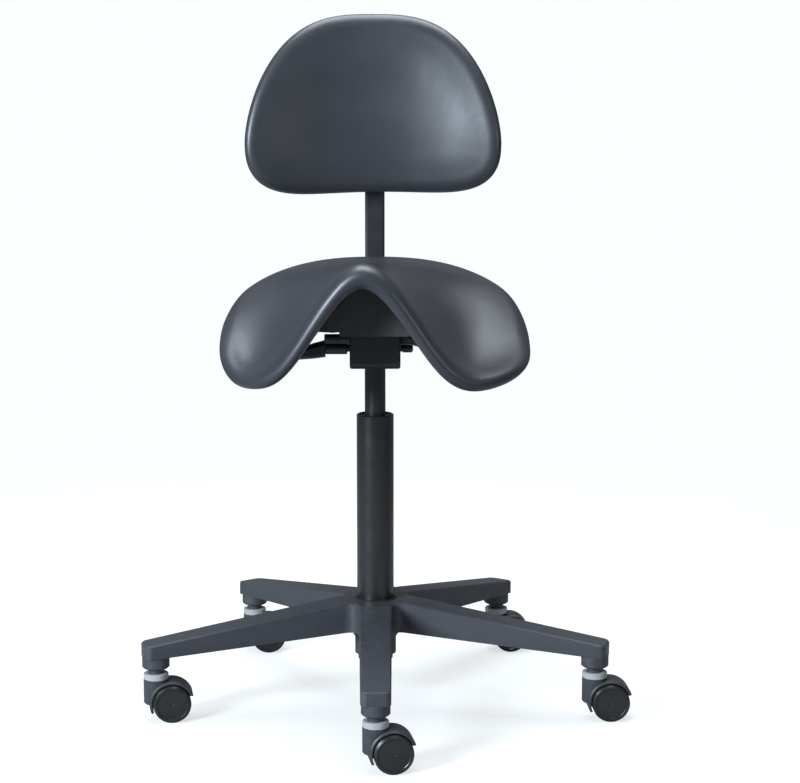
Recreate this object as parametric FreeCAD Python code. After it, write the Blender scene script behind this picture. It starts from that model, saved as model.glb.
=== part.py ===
# Saddle stool with a backrest, on a gas lift and a five-arm base with twin-wheel casters.
# Millimetres. Origin on the floor under the column's axis, +Z up, the seat's front towards -Y.
# The pommel points to -Y, and the base is turned a little, as a swivel stool usually stands.
import FreeCAD
import Part

import math
import os

# Star base
ARM_COUNT = 5
BASE_YAW = 0.0  # degrees from -Y towards +X, of the front arm
STEM_CIRCLE = 306.0  # radius from the column's axis to a caster's stem
ARM_TIP = 17.0  # length of arm beyond the stem
ARM_ROOT_WIDTH = 45.0
ARM_TIP_WIDTH = 38.0
HUB_TOP = 142.0
HUB_FLAT_RADIUS = 52.0
ARM_TIP_TOP = 104.0
ARM_ROOT_HEIGHT = 38.0
ARM_TIP_HEIGHT = 18.0
ARM_WALL = 3.5
ARM_CORNER = 9.0
ARM_EDGE_BEVEL = 1.8
WEB_FILLET = 14.0  # upright fillet between two arms
ROOT_STEP = 0.03  # how much the hub's roots stand proud of the arms that run into them
HUB_SKIRT_RADIUS = 28.0
HUB_CONE_RADIUS = 38.0
HUB_CONE_HEIGHT = 16.0
HUB_BOTTOM = 66.0
BOSS_RADIUS = 18.2
BOSS_BOTTOM = 73.7
NECK_RADIUS = 10.5
RIB_THICKNESS = 2.6
RIB_SPACING = 52.0
RIBS_PER_ARM = 4

# Column
TUBE_RADIUS = 25.0
TUBE_WALL = 3.0
TUBE_BOTTOM = 58.0
TUBE_TOP = 396.0
TUBE_FOOT_RADIUS = 23.6  # at the bottom of the taper that seats in the hub
TUBE_LIP_BEVEL = 1.2
TUBE_FLOOR = 3.0
BUSH_LENGTH = 62.0
BUSH_DROP = 2.0  # how far the bush lies below the tube's lip

# Gas lift
CYLINDER_RADIUS = 14.0
CYLINDER_WALL = 1.5
CYLINDER_BOTTOM = 182.0
CYLINDER_TOP = 497.0
CYLINDER_CROWN = 35.0  # solid length at the top, with the valve's bore
TAPER_DROP = 0.8  # how much the radius shrinks over the taper
ROD_RADIUS = 5.0
ROD_TOP = 370.0
SPIGOT_RADIUS = 4.0
ROD_BOTTOM = 50.0
PISTON_HEIGHT = 10.0
PISTON_DROP = 8.0
GLAND_HEIGHT = 8.0
VALVE_RADIUS = 3.0
VALVE_LENGTH = 18.0
VALVE_PROUD = 6.0
VALVE_TRAVEL = 3.3

# Bearing stack on the tube's floor
WASHER_THICKNESS = 1.0
CAGE_HEIGHT = 4.0
BEARING_OUTER = 12.0
ROLLER_RADIUS = 1.9
ROLLER_COUNT = 8
BUMPER_OUTER = 11.0
BUMPER_HEIGHT = 20.0
CLIP_THICKNESS = 1.2
CLIP_OUTER = 8.0

# Casters
WHEEL_RADIUS = 25.0
WHEEL_TRAIL = 20.0
WHEEL_INNER_FACE = 6.0  # from the caster's middle plane
WHEEL_OUTER_FACE = 22.5
WHEEL_ROUND = 2.6
WHEEL_RIM = 3.4
WHEEL_WEB = 3.0
WHEEL_HUB_RADIUS = 7.0
WHEEL_RIBS = 3
WHEEL_DISH = 1.0
WHEEL_RIB_THICKNESS = 2.0
AXLE_RADIUS = 3.0
HOOD_RADIUS = 30.0
HOOD_GAP = 1.5  # between the wheels' rims and the hood
HOOD_HALF_WIDTH = 18.0
HOOD_NOSE_ANGLE = 22.0  # degrees above level, where the hood ends ahead
HOOD_TAIL_ANGLE = 205.0
HOOD_WEB_HALF = 5.0
HOOD_STEM_RADIUS = 16.7
HOOD_STEM_BOTTOM = 23.0
HOOD_TOP = 56.0
HOOD_EDGE_BEVEL = 1.6
COLLAR_RADIUS = 16.5
COLLAR_HEIGHT = 8.4
COLLAR_BEVEL = 0.9
STEM_RADIUS = 5.0
STEM_BOTTOM = 44.0
STEM_TOP = 97.0
CASTER_YAWS = (8.0, 2.0, 5.0, 5.0, 8.5)  # degrees from +X, front arm first, then anticlockwise

# Tilt mechanism
HOUSING_HALF_WIDTH = 33.5
HOUSING_WALL = 3.0
HOUSING_FRONT = -60.0
HOUSING_REAR = 92.0
HOUSING_BOTTOM = 464.0
HOUSING_TOP = 512.0
HOUSING_REAR_TOP = 486.0
HOUSING_FRONT_ROUND = 8.0
HOUSING_SIDE_ROUND = 3.0
SOCKET_RADIUS = 19.5
SOCKET_FLANGE_RADIUS = 24.0
SOCKET_FLANGE = 3.0
SOCKET_HEIGHT = 26.0
AXLE_Y = 38.0
AXLE_Z = 492.0
TILT_AXLE_RADIUS = 6.0
TILT_MAX = 12.0  # degrees, backwards
EAR_THICKNESS = 3.0
EAR_GAP = 1.2  # between the housing and an ear
EAR_RADIUS = 13.0
EAR_BUSH_WALL = 2.0
LEVER_Y = -26.0
LEVER_Z = 488.0
LEVER_RADIUS = 4.5
LEVER_LEFT = -84.0
LEVER_RIGHT = 44.0
FINGER_HALF_WIDTH = 6.0
CAP_RADIUS = 5.6
CAP_LEFT = 37.0
CAP_RIGHT = 50.5
GRIP_INNER = -66.0
GRIP_OUTER = -116.0
GRIP_DROP = 9.0
LOCK_Y = -44.0
LOCK_Z = 503.0
LOCK_RADIUS = 4.0
BLADE_X = 20.0
BLADE_THICKNESS = 2.5
LOCK_WASHER_RADIUS = 8.5
LOCK_WASHER_THICKNESS = 2.0
KNOB_RADIUS = 6.5
KNOB_OUTER = -67.0
KNOB_FLUTES = 6
PADDLE_OUTER = 96.0
SPRING_Y = 72.0
SPRING_RADIUS = 10.5  # to the middle of the wire
SPRING_WIRE = 1.8
SPRING_TURNS = 5
SPRING_COIL_GAP = 0.6
SPRING_POST_RADIUS = 7.0

# Seat
PLATE_BOTTOM = 516.5
PLATE_THICKNESS = 3.0
PLATE_HALF_WIDTH = 66.0
PLATE_FRONT = -68.0
PLATE_REAR = 114.0
PLATE_CORNER = 9.0
SCREW_X = 56.0
SCREW_FRONT = -52.0
SCREW_REAR = 94.0
SCREW_RADIUS = 3.0
SCREW_HEAD_RADIUS = 6.0
SCREW_HEAD = 4.0
SCREW_REACH = 14.0
PAN_HALF_WIDTH = 84.0
PAN_FRONT = -112.0
PAN_REAR = 138.0
PAN_WALL = 3.0
PAN_CORNER = 28.0
SEAT_HALF_WIDTH = 205.5
SEAT_FRONT = -204.0
SEAT_REAR = 188.0
SEAT_WIDEST = -8.0
SEAT_FRONT_POWER = 2.6
SEAT_REAR_POWER = 2.4
SEAT_DIP = 586.0
SEAT_DIP_Y = 40.0
REAR_RISE = 11.0
POMMEL_RISE = 27.0
FRONT_RIM = 496.0
REAR_RIM = 600.0
RIM_POWER = 1.9
FRONT_DROP = 126.0  # from the pommel's crest to the trough of a lobe
LOBE_X = 153.0
REAR_POWER = 2.4
FRONT_SHAPE_START = 90.0
FRONT_SHAPE_END = -165.0
SEAT_THICKNESS = 24.0
SEAT_END_THICKNESS = 13.0
SEAT_MIDDLE_SHARE = 0.52  # of the rim's thickness, at the middle of a section
SEAT_STRIPS = 5  # arcs across the top of a section
SOFT_GAP = 0.3

# Back bar
BAR_WIDTH = 28.0
BAR_THICKNESS = 10.0
BAR_ROUND = 4.0
BAR_START = 90.0
BAR_RADIUS = 45.0
BAR_LEAN = 8.0  # degrees, forwards going up
BAR_AT_SEAT_Y = 206.0  # middle of the bar at the height of BAR_AT_SEAT_Z
BAR_AT_SEAT_Z = 595.0
BAR_TOP = 812.0

# Backrest
BACK_HALF_WIDTH = 177.0
BACK_BOTTOM = 687.0
BACK_TOP = 931.5
BACK_WIDEST = 752.0
BACK_FACE_Y = 120.0
BACK_WRAP = 46.0  # how far the sides stand ahead of the middle
BACK_THICKNESS = 40.0
BACK_END_THICKNESS = 20.0
BACK_UPPER_POWER = 2.15
BACK_LOWER_POWER = 4.6
BACK_PLATE_HALF_WIDTH = 58.0
BACK_PLATE_BOTTOM = 712.0
BACK_PLATE_TOP = 838.0
BACK_PLATE_THICKNESS = 3.0
CARRIER_HALF_WIDTH = 23.0
CARRIER_BOTTOM = 742.0
CARRIER_TOP = 812.0
CARRIER_WALL = 5.0
CLAMP_Z = 777.0
CLAMP_RADIUS = 4.0
CLAMP_HEAD_RADIUS = 19.0
CLAMP_HEAD = 16.0
CLAMP_LOBES = 6

# Clearances
RUNNING = 0.05  # radial, for what turns or slides in a bore
LOOSE = 0.3

TAPER_START = HOUSING_BOTTOM
PLATE_TOP = PLATE_BOTTOM + PLATE_THICKNESS
RACE_BOTTOM = TUBE_BOTTOM + TUBE_FLOOR
ROD_SHOULDER = RACE_BOTTOM + 2 * WASHER_THICKNESS + CAGE_HEIGHT
BACK_REAR_Y = BACK_FACE_Y + BACK_THICKNESS

parts = {}


def vec(x, y, z):
    return FreeCAD.Vector(x, y, z)


X_AXIS = vec(1, 0, 0)
Y_AXIS = vec(0, 1, 0)
Z_AXIS = vec(0, 0, 1)


def post(radius, low, high, x=0.0, y=0.0):
    return Part.makeCylinder(radius, high - low, vec(x, y, low), Z_AXIS)


def tube(outer, inner, low, high, x=0.0, y=0.0):
    return post(outer, low, high, x, y).cut(post(inner, low - 1, high + 1, x, y))


def shaft(radius, left, right, y, z):
    return Part.makeCylinder(radius, right - left, vec(left, y, z), X_AXIS)


def sleeve(outer, inner, left, right, y, z):
    return shaft(outer, left, right, y, z).cut(shaft(inner, left - 1, right + 1, y, z))


def block(left, right, front, rear, low, high):
    return Part.makeBox(right - left, rear - front, high - low, vec(left, front, low))


def face_of(points):
    return Part.Face(Part.makePolygon(points + [points[0]]))


def side_prism(profile, left, right):
    """A profile of (y, z) points, extruded along X."""
    return face_of([vec(left, y, z) for y, z in profile]).extrude(vec(right - left, 0, 0))


def plan_prism(profile, low, high):
    """A profile of (x, y) points, extruded upwards."""
    return face_of([vec(x, y, low) for x, y in profile]).extrude(vec(0, 0, high - low))


def turned(profile, x=0.0, y=0.0):
    """A profile of (radius, z) points, turned about an upright axis."""
    solid = face_of([vec(r, 0, z) for r, z in profile]).revolve(vec(0, 0, 0), Z_AXIS, 360)
    solid.translate(vec(x, y, 0))
    return solid


def rounded(shape, radius, wanted):
    """Fillets the edges for which wanted(edge) is true."""
    edges = [edge for edge in shape.Edges if wanted(edge)]
    return shape.makeFillet(radius, edges) if edges else shape


def bevelled(shape, size, wanted):
    """Chamfers the edges for which wanted(edge) is true."""
    edges = [edge for edge in shape.Edges if wanted(edge)]
    return shape.makeChamfer(size, edges) if edges else shape


def along(edge, axis):
    """True for a straight edge that runs along the axis."""
    if len(edge.Vertexes) != 2 or edge.Curve.TypeId != "Part::GeomLine":
        return False
    run = edge.Vertexes[1].Point - edge.Vertexes[0].Point
    return abs(run.normalize().dot(axis)) > 0.999


def smooth(share):
    share = min(1.0, max(0.0, share))
    return share * share * (3 - 2 * share)


def joined(shapes):
    whole = shapes[0].multiFuse(shapes[1:]) if len(shapes) > 1 else shapes[0]
    return whole.removeSplitter()


def placed(shape, yaw, x, y):
    copy = shape.copy()
    copy.rotate(vec(0, 0, 0), Z_AXIS, yaw)
    copy.translate(vec(x, y, 0))
    return copy


def arm_angles():
    step = 360.0 / ARM_COUNT
    return [-90.0 + BASE_YAW + step * index for index in range(ARM_COUNT)]


def arm_end(angle):
    return STEM_CIRCLE * math.cos(math.radians(angle)), STEM_CIRCLE * math.sin(math.radians(angle))


def arm_top(radius):
    """Height of an arm's top face at a distance from the axis."""
    share = (radius - HUB_FLAT_RADIUS) / (STEM_CIRCLE + ARM_TIP - HUB_FLAT_RADIUS)
    return HUB_TOP + (ARM_TIP_TOP - HUB_TOP) * max(0.0, share)


def arm_bottom(radius):
    share = radius / (STEM_CIRCLE + ARM_TIP)
    return HUB_TOP - ARM_ROOT_HEIGHT + (ARM_TIP_TOP - ARM_TIP_HEIGHT - HUB_TOP + ARM_ROOT_HEIGHT) * share


def arm_plan(margin, top=HUB_TOP + 5.0):
    """Plan of one arm along +X, drawn in by a margin, as an upright prism."""
    tip = STEM_CIRCLE + ARM_TIP - margin
    root_half = ARM_ROOT_WIDTH / 2 - margin
    tip_half = ARM_TIP_WIDTH / 2 - margin
    plan = plan_prism([(0, -root_half), (tip, -tip_half), (tip, tip_half), (0, root_half)], 0, top)
    corner = ARM_CORNER - margin
    return rounded(plan, corner, lambda edge: along(edge, Z_AXIS) and edge.Vertexes[0].X > STEM_CIRCLE)


def arm_pocket():
    """The hollow under one arm, less its ribs and the boss for the caster's stem."""
    far = STEM_CIRCLE + ARM_TIP
    wide = ARM_ROOT_WIDTH
    side = [(HUB_CONE_RADIUS, 0), (far, 0), (far, arm_top(far) - ARM_WALL),
            (HUB_CONE_RADIUS, arm_top(HUB_CONE_RADIUS) - ARM_WALL)]
    face = face_of([vec(x, -wide, z) for x, z in side])
    pocket = arm_plan(ARM_WALL).common(face.extrude(vec(0, 2 * wide, 0)))
    ribs = [block(0, STEM_CIRCLE, -RIB_THICKNESS / 2, RIB_THICKNESS / 2, 0, 200)]
    for index in range(RIBS_PER_ARM):
        middle = HUB_CONE_RADIUS + RIB_SPACING * (index + 1)
        ribs.append(block(middle - RIB_THICKNESS / 2, middle + RIB_THICKNESS / 2, -50, 50, 0, 200))
    boss_body = post(BOSS_RADIUS - ARM_WALL, 0, 200, STEM_CIRCLE)
    return pocket.cut(joined(ribs)).cut(boss_body)


def slope_sides():
    """Side views, as (x, z) points, of what lies above and below an arm along +X."""
    far = STEM_CIRCLE + ARM_TIP + 5
    near = HUB_FLAT_RADIUS - 10.0
    rise = (arm_top(HUB_FLAT_RADIUS) - arm_top(far)) / (far - HUB_FLAT_RADIUS)
    above = [(near, HUB_TOP + 10.0 * rise), (far, arm_top(far)), (far, 200), (near, 200)]
    below = [(0, -1), (far, -1), (far, arm_bottom(far)), (0, arm_bottom(0))]
    return above, below


def sloped_arm():
    """The part of an arm outside the hub's flat top, its top outline rounded."""
    arm = arm_plan(0.0).cut(block(-1, HUB_FLAT_RADIUS - 5 * ROOT_STEP, -50, 50, -1, 200))
    for side in slope_sides():
        arm = arm.cut(face_of([vec(x, -50, z) for x, z in side]).extrude(vec(0, 100, 0)))
    return bevelled(solid_of(arm), ARM_EDGE_BEVEL, is_arm_outline)


def is_arm_outline(edge):
    if along(edge, Z_AXIS):
        return False
    if max(vertex.X for vertex in edge.Vertexes) < HUB_FLAT_RADIUS + 1:
        return False
    return all(vertex.Z > (arm_top(vertex.X) + arm_bottom(vertex.X)) / 2 for vertex in edge.Vertexes)


def star_middle():
    """The hub with the roots of the arms and the webs between them, under its flat top."""
    root = arm_plan(-ROOT_STEP, HUB_TOP + ROOT_STEP)
    plan = joined([placed(root, angle, 0, 0) for angle in arm_angles()])
    middle = rounded(solid_of(plan), WEB_FILLET, lambda edge: along(edge, Z_AXIS) and reach_of(edge) < ARM_ROOT_WIDTH)
    far = STEM_CIRCLE + ARM_TIP + 5
    beyond = block(HUB_FLAT_RADIUS, far, -60, 60, -1, 200)
    below = face_of([vec(x, -far, z - ROOT_STEP) for x, z in slope_sides()[1]]).extrude(vec(0, 2 * far, 0))
    half_turn = math.tan(math.pi / ARM_COUNT)
    sector = plan_prism([(0, 0), (far, -far * half_turn), (far, far * half_turn)], -1, 200)
    below = below.common(sector)
    for angle in arm_angles():
        middle = middle.cut(placed(beyond, angle, 0, 0)).cut(placed(below, angle, 0, 0))
    return bevelled(solid_of(middle), ARM_EDGE_BEVEL, is_web_outline)


def is_web_outline(edge):
    level = edge.BoundBox.ZMin > HUB_TOP - 0.01
    return level and edge.Curve.TypeId == "Part::GeomCircle"


def reach_of(edge):
    return math.hypot(edge.Vertexes[0].X, edge.Vertexes[0].Y)


def solid_of(shape):
    return shape.Solids[0]


def star_base():
    arm = sloped_arm()
    whole = joined([star_middle()] + [placed(arm, angle, 0, 0) for angle in arm_angles()])
    pocket = arm_pocket()
    for angle in arm_angles():
        whole = whole.cut(placed(pocket, angle, 0, 0))
    skirt_top = HUB_TOP - ARM_ROOT_HEIGHT
    hub = turned([(0, HUB_BOTTOM), (HUB_SKIRT_RADIUS, HUB_BOTTOM),
                  (HUB_SKIRT_RADIUS, skirt_top - HUB_CONE_HEIGHT), (HUB_CONE_RADIUS, skirt_top),
                  (HUB_CONE_RADIUS - 1.0, HUB_TOP - 1.0), (0, HUB_TOP - 1.0)])
    neck_top = BOSS_BOTTOM - 2.0
    boss_top = ARM_TIP_TOP - ARM_TIP_HEIGHT + 1.0
    boss = turned([(0, HOOD_TOP + 0.6), (NECK_RADIUS, HOOD_TOP + 0.6), (NECK_RADIUS, neck_top - 1.5),
                   (BOSS_RADIUS - 2.2, neck_top - 0.5), (BOSS_RADIUS, neck_top + 1.5),
                   (BOSS_RADIUS, boss_top), (0, boss_top)])
    bosses = [placed(boss, 0, *arm_end(angle)) for angle in arm_angles()]
    whole = joined([whole, hub] + bosses)
    for angle in arm_angles():
        x, y = arm_end(angle)
        whole = whole.cut(post(STEM_RADIUS + RUNNING, 0, STEM_TOP + 0.5, x, y))
    return solid_of(whole.cut(tube_outside(RUNNING)))


def tube_outside(margin):
    """The tube's outer form down to its seat in the hub, grown by a margin."""
    return turned([(0, TUBE_BOTTOM), (TUBE_FOOT_RADIUS + margin, TUBE_BOTTOM),
                   (TUBE_RADIUS + margin, HUB_TOP), (TUBE_RADIUS + margin, TUBE_TOP), (0, TUBE_TOP)])


def column_tube():
    inner = TUBE_RADIUS - TUBE_WALL
    foot_inner = TUBE_FOOT_RADIUS - TUBE_WALL
    floor = TUBE_BOTTOM + TUBE_FLOOR
    hollow = turned([(0, floor), (foot_inner, floor), (foot_inner, HUB_BOTTOM),
                     (inner, HUB_TOP), (inner, TUBE_TOP + 1), (0, TUBE_TOP + 1)])
    shell = tube_outside(0.0).cut(hollow)
    shell = bevelled(shell, TUBE_LIP_BEVEL, lambda edge: abs(edge.BoundBox.ZMin - TUBE_TOP) < 0.01)
    return shell.cut(post(SPIGOT_RADIUS + LOOSE, 0, floor + 1))


def guide_bush():
    top = TUBE_TOP - BUSH_DROP
    return tube(TUBE_RADIUS - TUBE_WALL - RUNNING, CYLINDER_RADIUS + RUNNING, top - BUSH_LENGTH, top)


def caster_stems():
    stems = []
    for angle in arm_angles():
        x, y = arm_end(angle)
        stem = post(STEM_RADIUS, STEM_BOTTOM, STEM_TOP, x, y)
        groove_z = HOOD_TOP - 5.0
        stem = stem.cut(tube(STEM_RADIUS + 1, STEM_RADIUS - 0.8, groove_z, groove_z + 1.6, x, y))
        stems.append(stem.makeChamfer(0.8, [e for e in stem.Edges if e.BoundBox.ZMin > STEM_TOP - 0.01]))
    return Part.makeCompound(stems)


def wheel(side):
    """One wheel of a pair, its middle at x = WHEEL_TRAIL, on the side +1 or -1 along Y."""
    inner = WHEEL_INNER_FACE
    outer = WHEEL_OUTER_FACE
    radius = WHEEL_RADIUS
    rim = radius - WHEEL_RIM
    web = outer - WHEEL_WEB
    bore = AXLE_RADIUS + RUNNING
    profile = [(bore, inner), (WHEEL_HUB_RADIUS, inner), (WHEEL_HUB_RADIUS, web), (rim, web), (rim, inner),
               (radius, inner), (radius, outer - WHEEL_ROUND), (radius - WHEEL_ROUND, outer),
               (rim - 1.0, outer), (rim - 2.0, outer - WHEEL_DISH), (bore, outer - WHEEL_DISH)]
    solid = face_of([vec(r, y, 0) for r, y in profile]).revolve(vec(0, 0, 0), Y_AXIS, 360)
    ribs = []
    for index in range(WHEEL_RIBS):
        rib = block(WHEEL_HUB_RADIUS - 0.5, rim + 0.5, inner + 1.5, web + 0.5, -WHEEL_RIB_THICKNESS / 2,
                    WHEEL_RIB_THICKNESS / 2)
        rib.rotate(vec(0, 0, 0), Y_AXIS, index * 360.0 / WHEEL_RIBS)
        ribs.append(rib)
    solid = joined([solid] + ribs)
    if side < 0:
        solid = solid.mirror(vec(0, 0, 0), Y_AXIS)
    solid.translate(vec(WHEEL_TRAIL, 0, WHEEL_RADIUS))
    return solid


def wheel_disc(radius, half_width):
    """A disc about the caster's axle."""
    return Part.makeCylinder(radius, 2 * half_width, vec(WHEEL_TRAIL, -half_width, WHEEL_RADIUS), Y_AXIS)


def caster_body():
    """Hood, stem housing and axle of a caster, its trail along +X and its stem on the Z axis."""
    clearance = WHEEL_RADIUS + HOOD_GAP
    reach = 2 * HOOD_RADIUS
    nose = math.radians(HOOD_NOSE_ANGLE)
    tail = math.radians(HOOD_TAIL_ANGLE)
    centre = (WHEEL_TRAIL, WHEEL_RADIUS)
    gap = [centre, (centre[0] + reach * math.cos(tail), centre[1] + reach * math.sin(tail)),
           (centre[0] - reach, -reach), (centre[0] + reach, -reach),
           (centre[0] + reach * math.cos(nose), centre[1] + reach * math.sin(nose))]
    open_part = face_of([vec(x, -reach, z) for x, z in gap]).extrude(vec(0, 2 * reach, 0))
    arch = wheel_disc(HOOD_RADIUS, HOOD_HALF_WIDTH)
    arch = bevelled(arch, HOOD_EDGE_BEVEL, lambda edge: edge.BoundBox.XLength > HOOD_RADIUS)
    arch = arch.cut(wheel_disc(clearance, reach)).cut(open_part)
    web = wheel_disc(HOOD_RADIUS - 0.5, HOOD_WEB_HALF).cut(block(-60, 80, -60, 60, -20, WHEEL_RADIUS - 8.0))
    web = web.cut(block(WHEEL_TRAIL + 8.0, 80, -60, 60, -20, WHEEL_RADIUS + 6.0))
    stem_housing = post(HOOD_STEM_RADIUS, HOOD_STEM_BOTTOM, HOOD_TOP)
    stem_housing = bevelled(stem_housing, HOOD_EDGE_BEVEL, lambda edge: edge.BoundBox.ZMax < HOOD_STEM_BOTTOM + 1)
    wheel_space = wheel_disc(clearance, reach).cut(wheel_disc(clearance + 1, HOOD_WEB_HALF))
    stem_housing = stem_housing.cut(wheel_space)
    axle = Part.makeCylinder(AXLE_RADIUS, 2 * WHEEL_OUTER_FACE - 5.0,
                             vec(WHEEL_TRAIL, 2.5 - WHEEL_OUTER_FACE, WHEEL_RADIUS), Y_AXIS)
    body = joined([arch, web, stem_housing, axle])
    return body.cut(post(STEM_RADIUS + RUNNING, STEM_BOTTOM - LOOSE, HOOD_TOP + 1))


def caster_collar():
    collar = tube(COLLAR_RADIUS, NECK_RADIUS + LOOSE, HOOD_TOP, HOOD_TOP + COLLAR_HEIGHT)
    return bevelled(collar, COLLAR_BEVEL, lambda edge: edge.BoundBox.XLength > 2 * COLLAR_RADIUS - 0.1)


def add_casters():
    body = caster_body()
    collar = caster_collar()
    wheels = {"left": wheel(1), "right": wheel(-1)}
    for index, angle in enumerate(arm_angles()):
        x, y = arm_end(angle)
        yaw = CASTER_YAWS[index] + BASE_YAW
        name = "caster_%d_" % (index + 1)
        parts[name + "hood"] = placed(body, yaw, x, y)
        parts[name + "collar"] = placed(collar, yaw, x, y)
        for side, shape in wheels.items():
            parts[name + "wheel_" + side] = placed(shape, yaw, x, y)


def gas_cylinder():
    radius = CYLINDER_RADIUS
    outer = turned([(0, CYLINDER_BOTTOM), (radius, CYLINDER_BOTTOM), (radius, TAPER_START),
                    (radius - TAPER_DROP, CYLINDER_TOP - 1.0), (radius - TAPER_DROP - 1.0, CYLINDER_TOP),
                    (0, CYLINDER_TOP)])
    bore = post(radius - CYLINDER_WALL, CYLINDER_BOTTOM - 1, CYLINDER_TOP - CYLINDER_CROWN)
    valve_bottom = CYLINDER_TOP + VALVE_PROUD - VALVE_LENGTH - VALVE_TRAVEL
    return outer.cut(bore).cut(post(VALVE_RADIUS + RUNNING, valve_bottom, CYLINDER_TOP + 1))


def cylinder_gland():
    low = CYLINDER_BOTTOM + 2.0
    return tube(CYLINDER_RADIUS - CYLINDER_WALL - RUNNING, ROD_RADIUS + RUNNING, low, low + GLAND_HEIGHT)


def valve_pin():
    top = CYLINDER_TOP + VALVE_PROUD
    pin = post(VALVE_RADIUS, top - VALVE_LENGTH, top)
    return bevelled(pin, 0.6, lambda edge: edge.BoundBox.ZMin > top - 0.01)


def piston_rod():
    rod = joined([post(SPIGOT_RADIUS, ROD_BOTTOM, ROD_SHOULDER + 1), post(ROD_RADIUS, ROD_SHOULDER, ROD_TOP)])
    top = TUBE_BOTTOM - LOOSE
    return rod.cut(tube(SPIGOT_RADIUS + 1, SPIGOT_RADIUS - 0.6, top - CLIP_THICKNESS - 0.1, top))


def gas_piston():
    top = ROD_TOP - PISTON_DROP
    body = tube(CYLINDER_RADIUS - CYLINDER_WALL - RUNNING, ROD_RADIUS, top - PISTON_HEIGHT, top)
    middle = top - PISTON_HEIGHT / 2
    seal_groove = tube(CYLINDER_RADIUS, CYLINDER_RADIUS - CYLINDER_WALL - 1.5, middle - 1.2, middle + 1.2)
    return body.cut(seal_groove)


def thrust_bearing():
    """A flat cage with radial rollers between the two washers."""
    low = RACE_BOTTOM + WASHER_THICKNESS
    middle = low + CAGE_HEIGHT / 2
    pieces = [tube(BEARING_OUTER, SPIGOT_RADIUS + 1.2, middle - 0.8, middle + 0.8)]
    inner = SPIGOT_RADIUS + 2.2
    for index in range(ROLLER_COUNT):
        roller = shaft(ROLLER_RADIUS, inner, BEARING_OUTER - 1.0, 0, middle)
        roller.rotate(vec(0, 0, 0), Z_AXIS, 360.0 * index / ROLLER_COUNT)
        pieces.append(roller)
    return joined(pieces)


def thrust_washers():
    upper = ROD_SHOULDER - WASHER_THICKNESS
    return Part.makeCompound([
        tube(BEARING_OUTER, SPIGOT_RADIUS + LOOSE, RACE_BOTTOM, RACE_BOTTOM + WASHER_THICKNESS),
        tube(BEARING_OUTER, SPIGOT_RADIUS + LOOSE, upper, upper + WASHER_THICKNESS)])


def bump_stop():
    low = ROD_SHOULDER
    stop = tube(BUMPER_OUTER, ROD_RADIUS + RUNNING, low, low + BUMPER_HEIGHT)
    waist = tube(BUMPER_OUTER + 1, BUMPER_OUTER - 2.0, low + 7.0, low + 11.0)
    return stop.cut(waist)


def retaining_clip():
    top = TUBE_BOTTOM - LOOSE
    ring = tube(CLIP_OUTER, SPIGOT_RADIUS - 0.5, top - CLIP_THICKNESS, top)
    return ring.cut(block(0, CLIP_OUTER + 1, -2.0, 2.0, 0, TUBE_BOTTOM))


def taper_socket():
    top = HOUSING_BOTTOM + SOCKET_HEIGHT + 2.0
    floor = HOUSING_BOTTOM + HOUSING_WALL
    body = turned([(0, HOUSING_BOTTOM), (SOCKET_RADIUS, HOUSING_BOTTOM), (SOCKET_RADIUS, floor),
                   (SOCKET_FLANGE_RADIUS, floor), (SOCKET_FLANGE_RADIUS, floor + SOCKET_FLANGE),
                   (SOCKET_RADIUS, floor + SOCKET_FLANGE + 2.0), (SOCKET_RADIUS - 1.0, top), (0, top)])
    slope = TAPER_DROP / (CYLINDER_TOP - 1.0 - TAPER_START)
    grow = RUNNING
    low_radius = CYLINDER_RADIUS + grow
    bore = turned([(0, TAPER_START), (low_radius, TAPER_START),
                   (low_radius - slope * (top + 1 - TAPER_START), top + 1), (0, top + 1)])
    return body.cut(bore)


def housing_profile(margin):
    """Side view of the housing's pan, (y, z), drawn in by a margin but open at the top."""
    lift = 40.0 if margin else 0.0
    return [(HOUSING_FRONT + margin, HOUSING_BOTTOM + margin), (HOUSING_REAR - margin, HOUSING_BOTTOM + margin),
            (HOUSING_REAR - margin, HOUSING_REAR_TOP + lift), (AXLE_Y + 30.0 - margin, HOUSING_REAR_TOP + 10.0 + lift),
            (AXLE_Y + 14.0, HOUSING_TOP - 4.0 + lift), (AXLE_Y + 4.0, HOUSING_TOP + lift),
            (HOUSING_FRONT + margin, HOUSING_TOP + lift)]


def mech_housing():
    half = HOUSING_HALF_WIDTH
    outer = side_prism(housing_profile(0.0), -half, half)

    def front_edge(edge):
        box = edge.BoundBox
        return along(edge, X_AXIS) and box.YMax < HOUSING_FRONT + 0.1 and box.ZMax < HOUSING_BOTTOM + 0.1

    def side_edge(edge):
        return edge.BoundBox.ZMax < HOUSING_BOTTOM + 0.1 and along(edge, Y_AXIS)

    outer = rounded(outer, HOUSING_FRONT_ROUND, front_edge)
    outer = rounded(outer, HOUSING_SIDE_ROUND, side_edge)
    inner_half = half - HOUSING_WALL
    inner = side_prism(housing_profile(HOUSING_WALL), -inner_half, inner_half)
    shell = outer.cut(inner)
    shell = shell.cut(post(SOCKET_RADIUS + RUNNING, 0, HOUSING_BOTTOM + HOUSING_WALL + 1))
    for radius, y, z in ((TILT_AXLE_RADIUS, AXLE_Y, AXLE_Z), (LEVER_RADIUS, LEVER_Y, LEVER_Z),
                         (LOCK_RADIUS, LOCK_Y, LOCK_Z)):
        shell = shell.cut(shaft(radius + RUNNING, -half - 1, half + 1, y, z))
    floor = HOUSING_BOTTOM + HOUSING_WALL
    spring_post = post(SPRING_POST_RADIUS, floor - 0.5, floor + 13.0, 0, SPRING_Y)
    return joined([shell, spring_post])


def ear_outer():
    return HOUSING_HALF_WIDTH + EAR_GAP + EAR_THICKNESS


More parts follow.
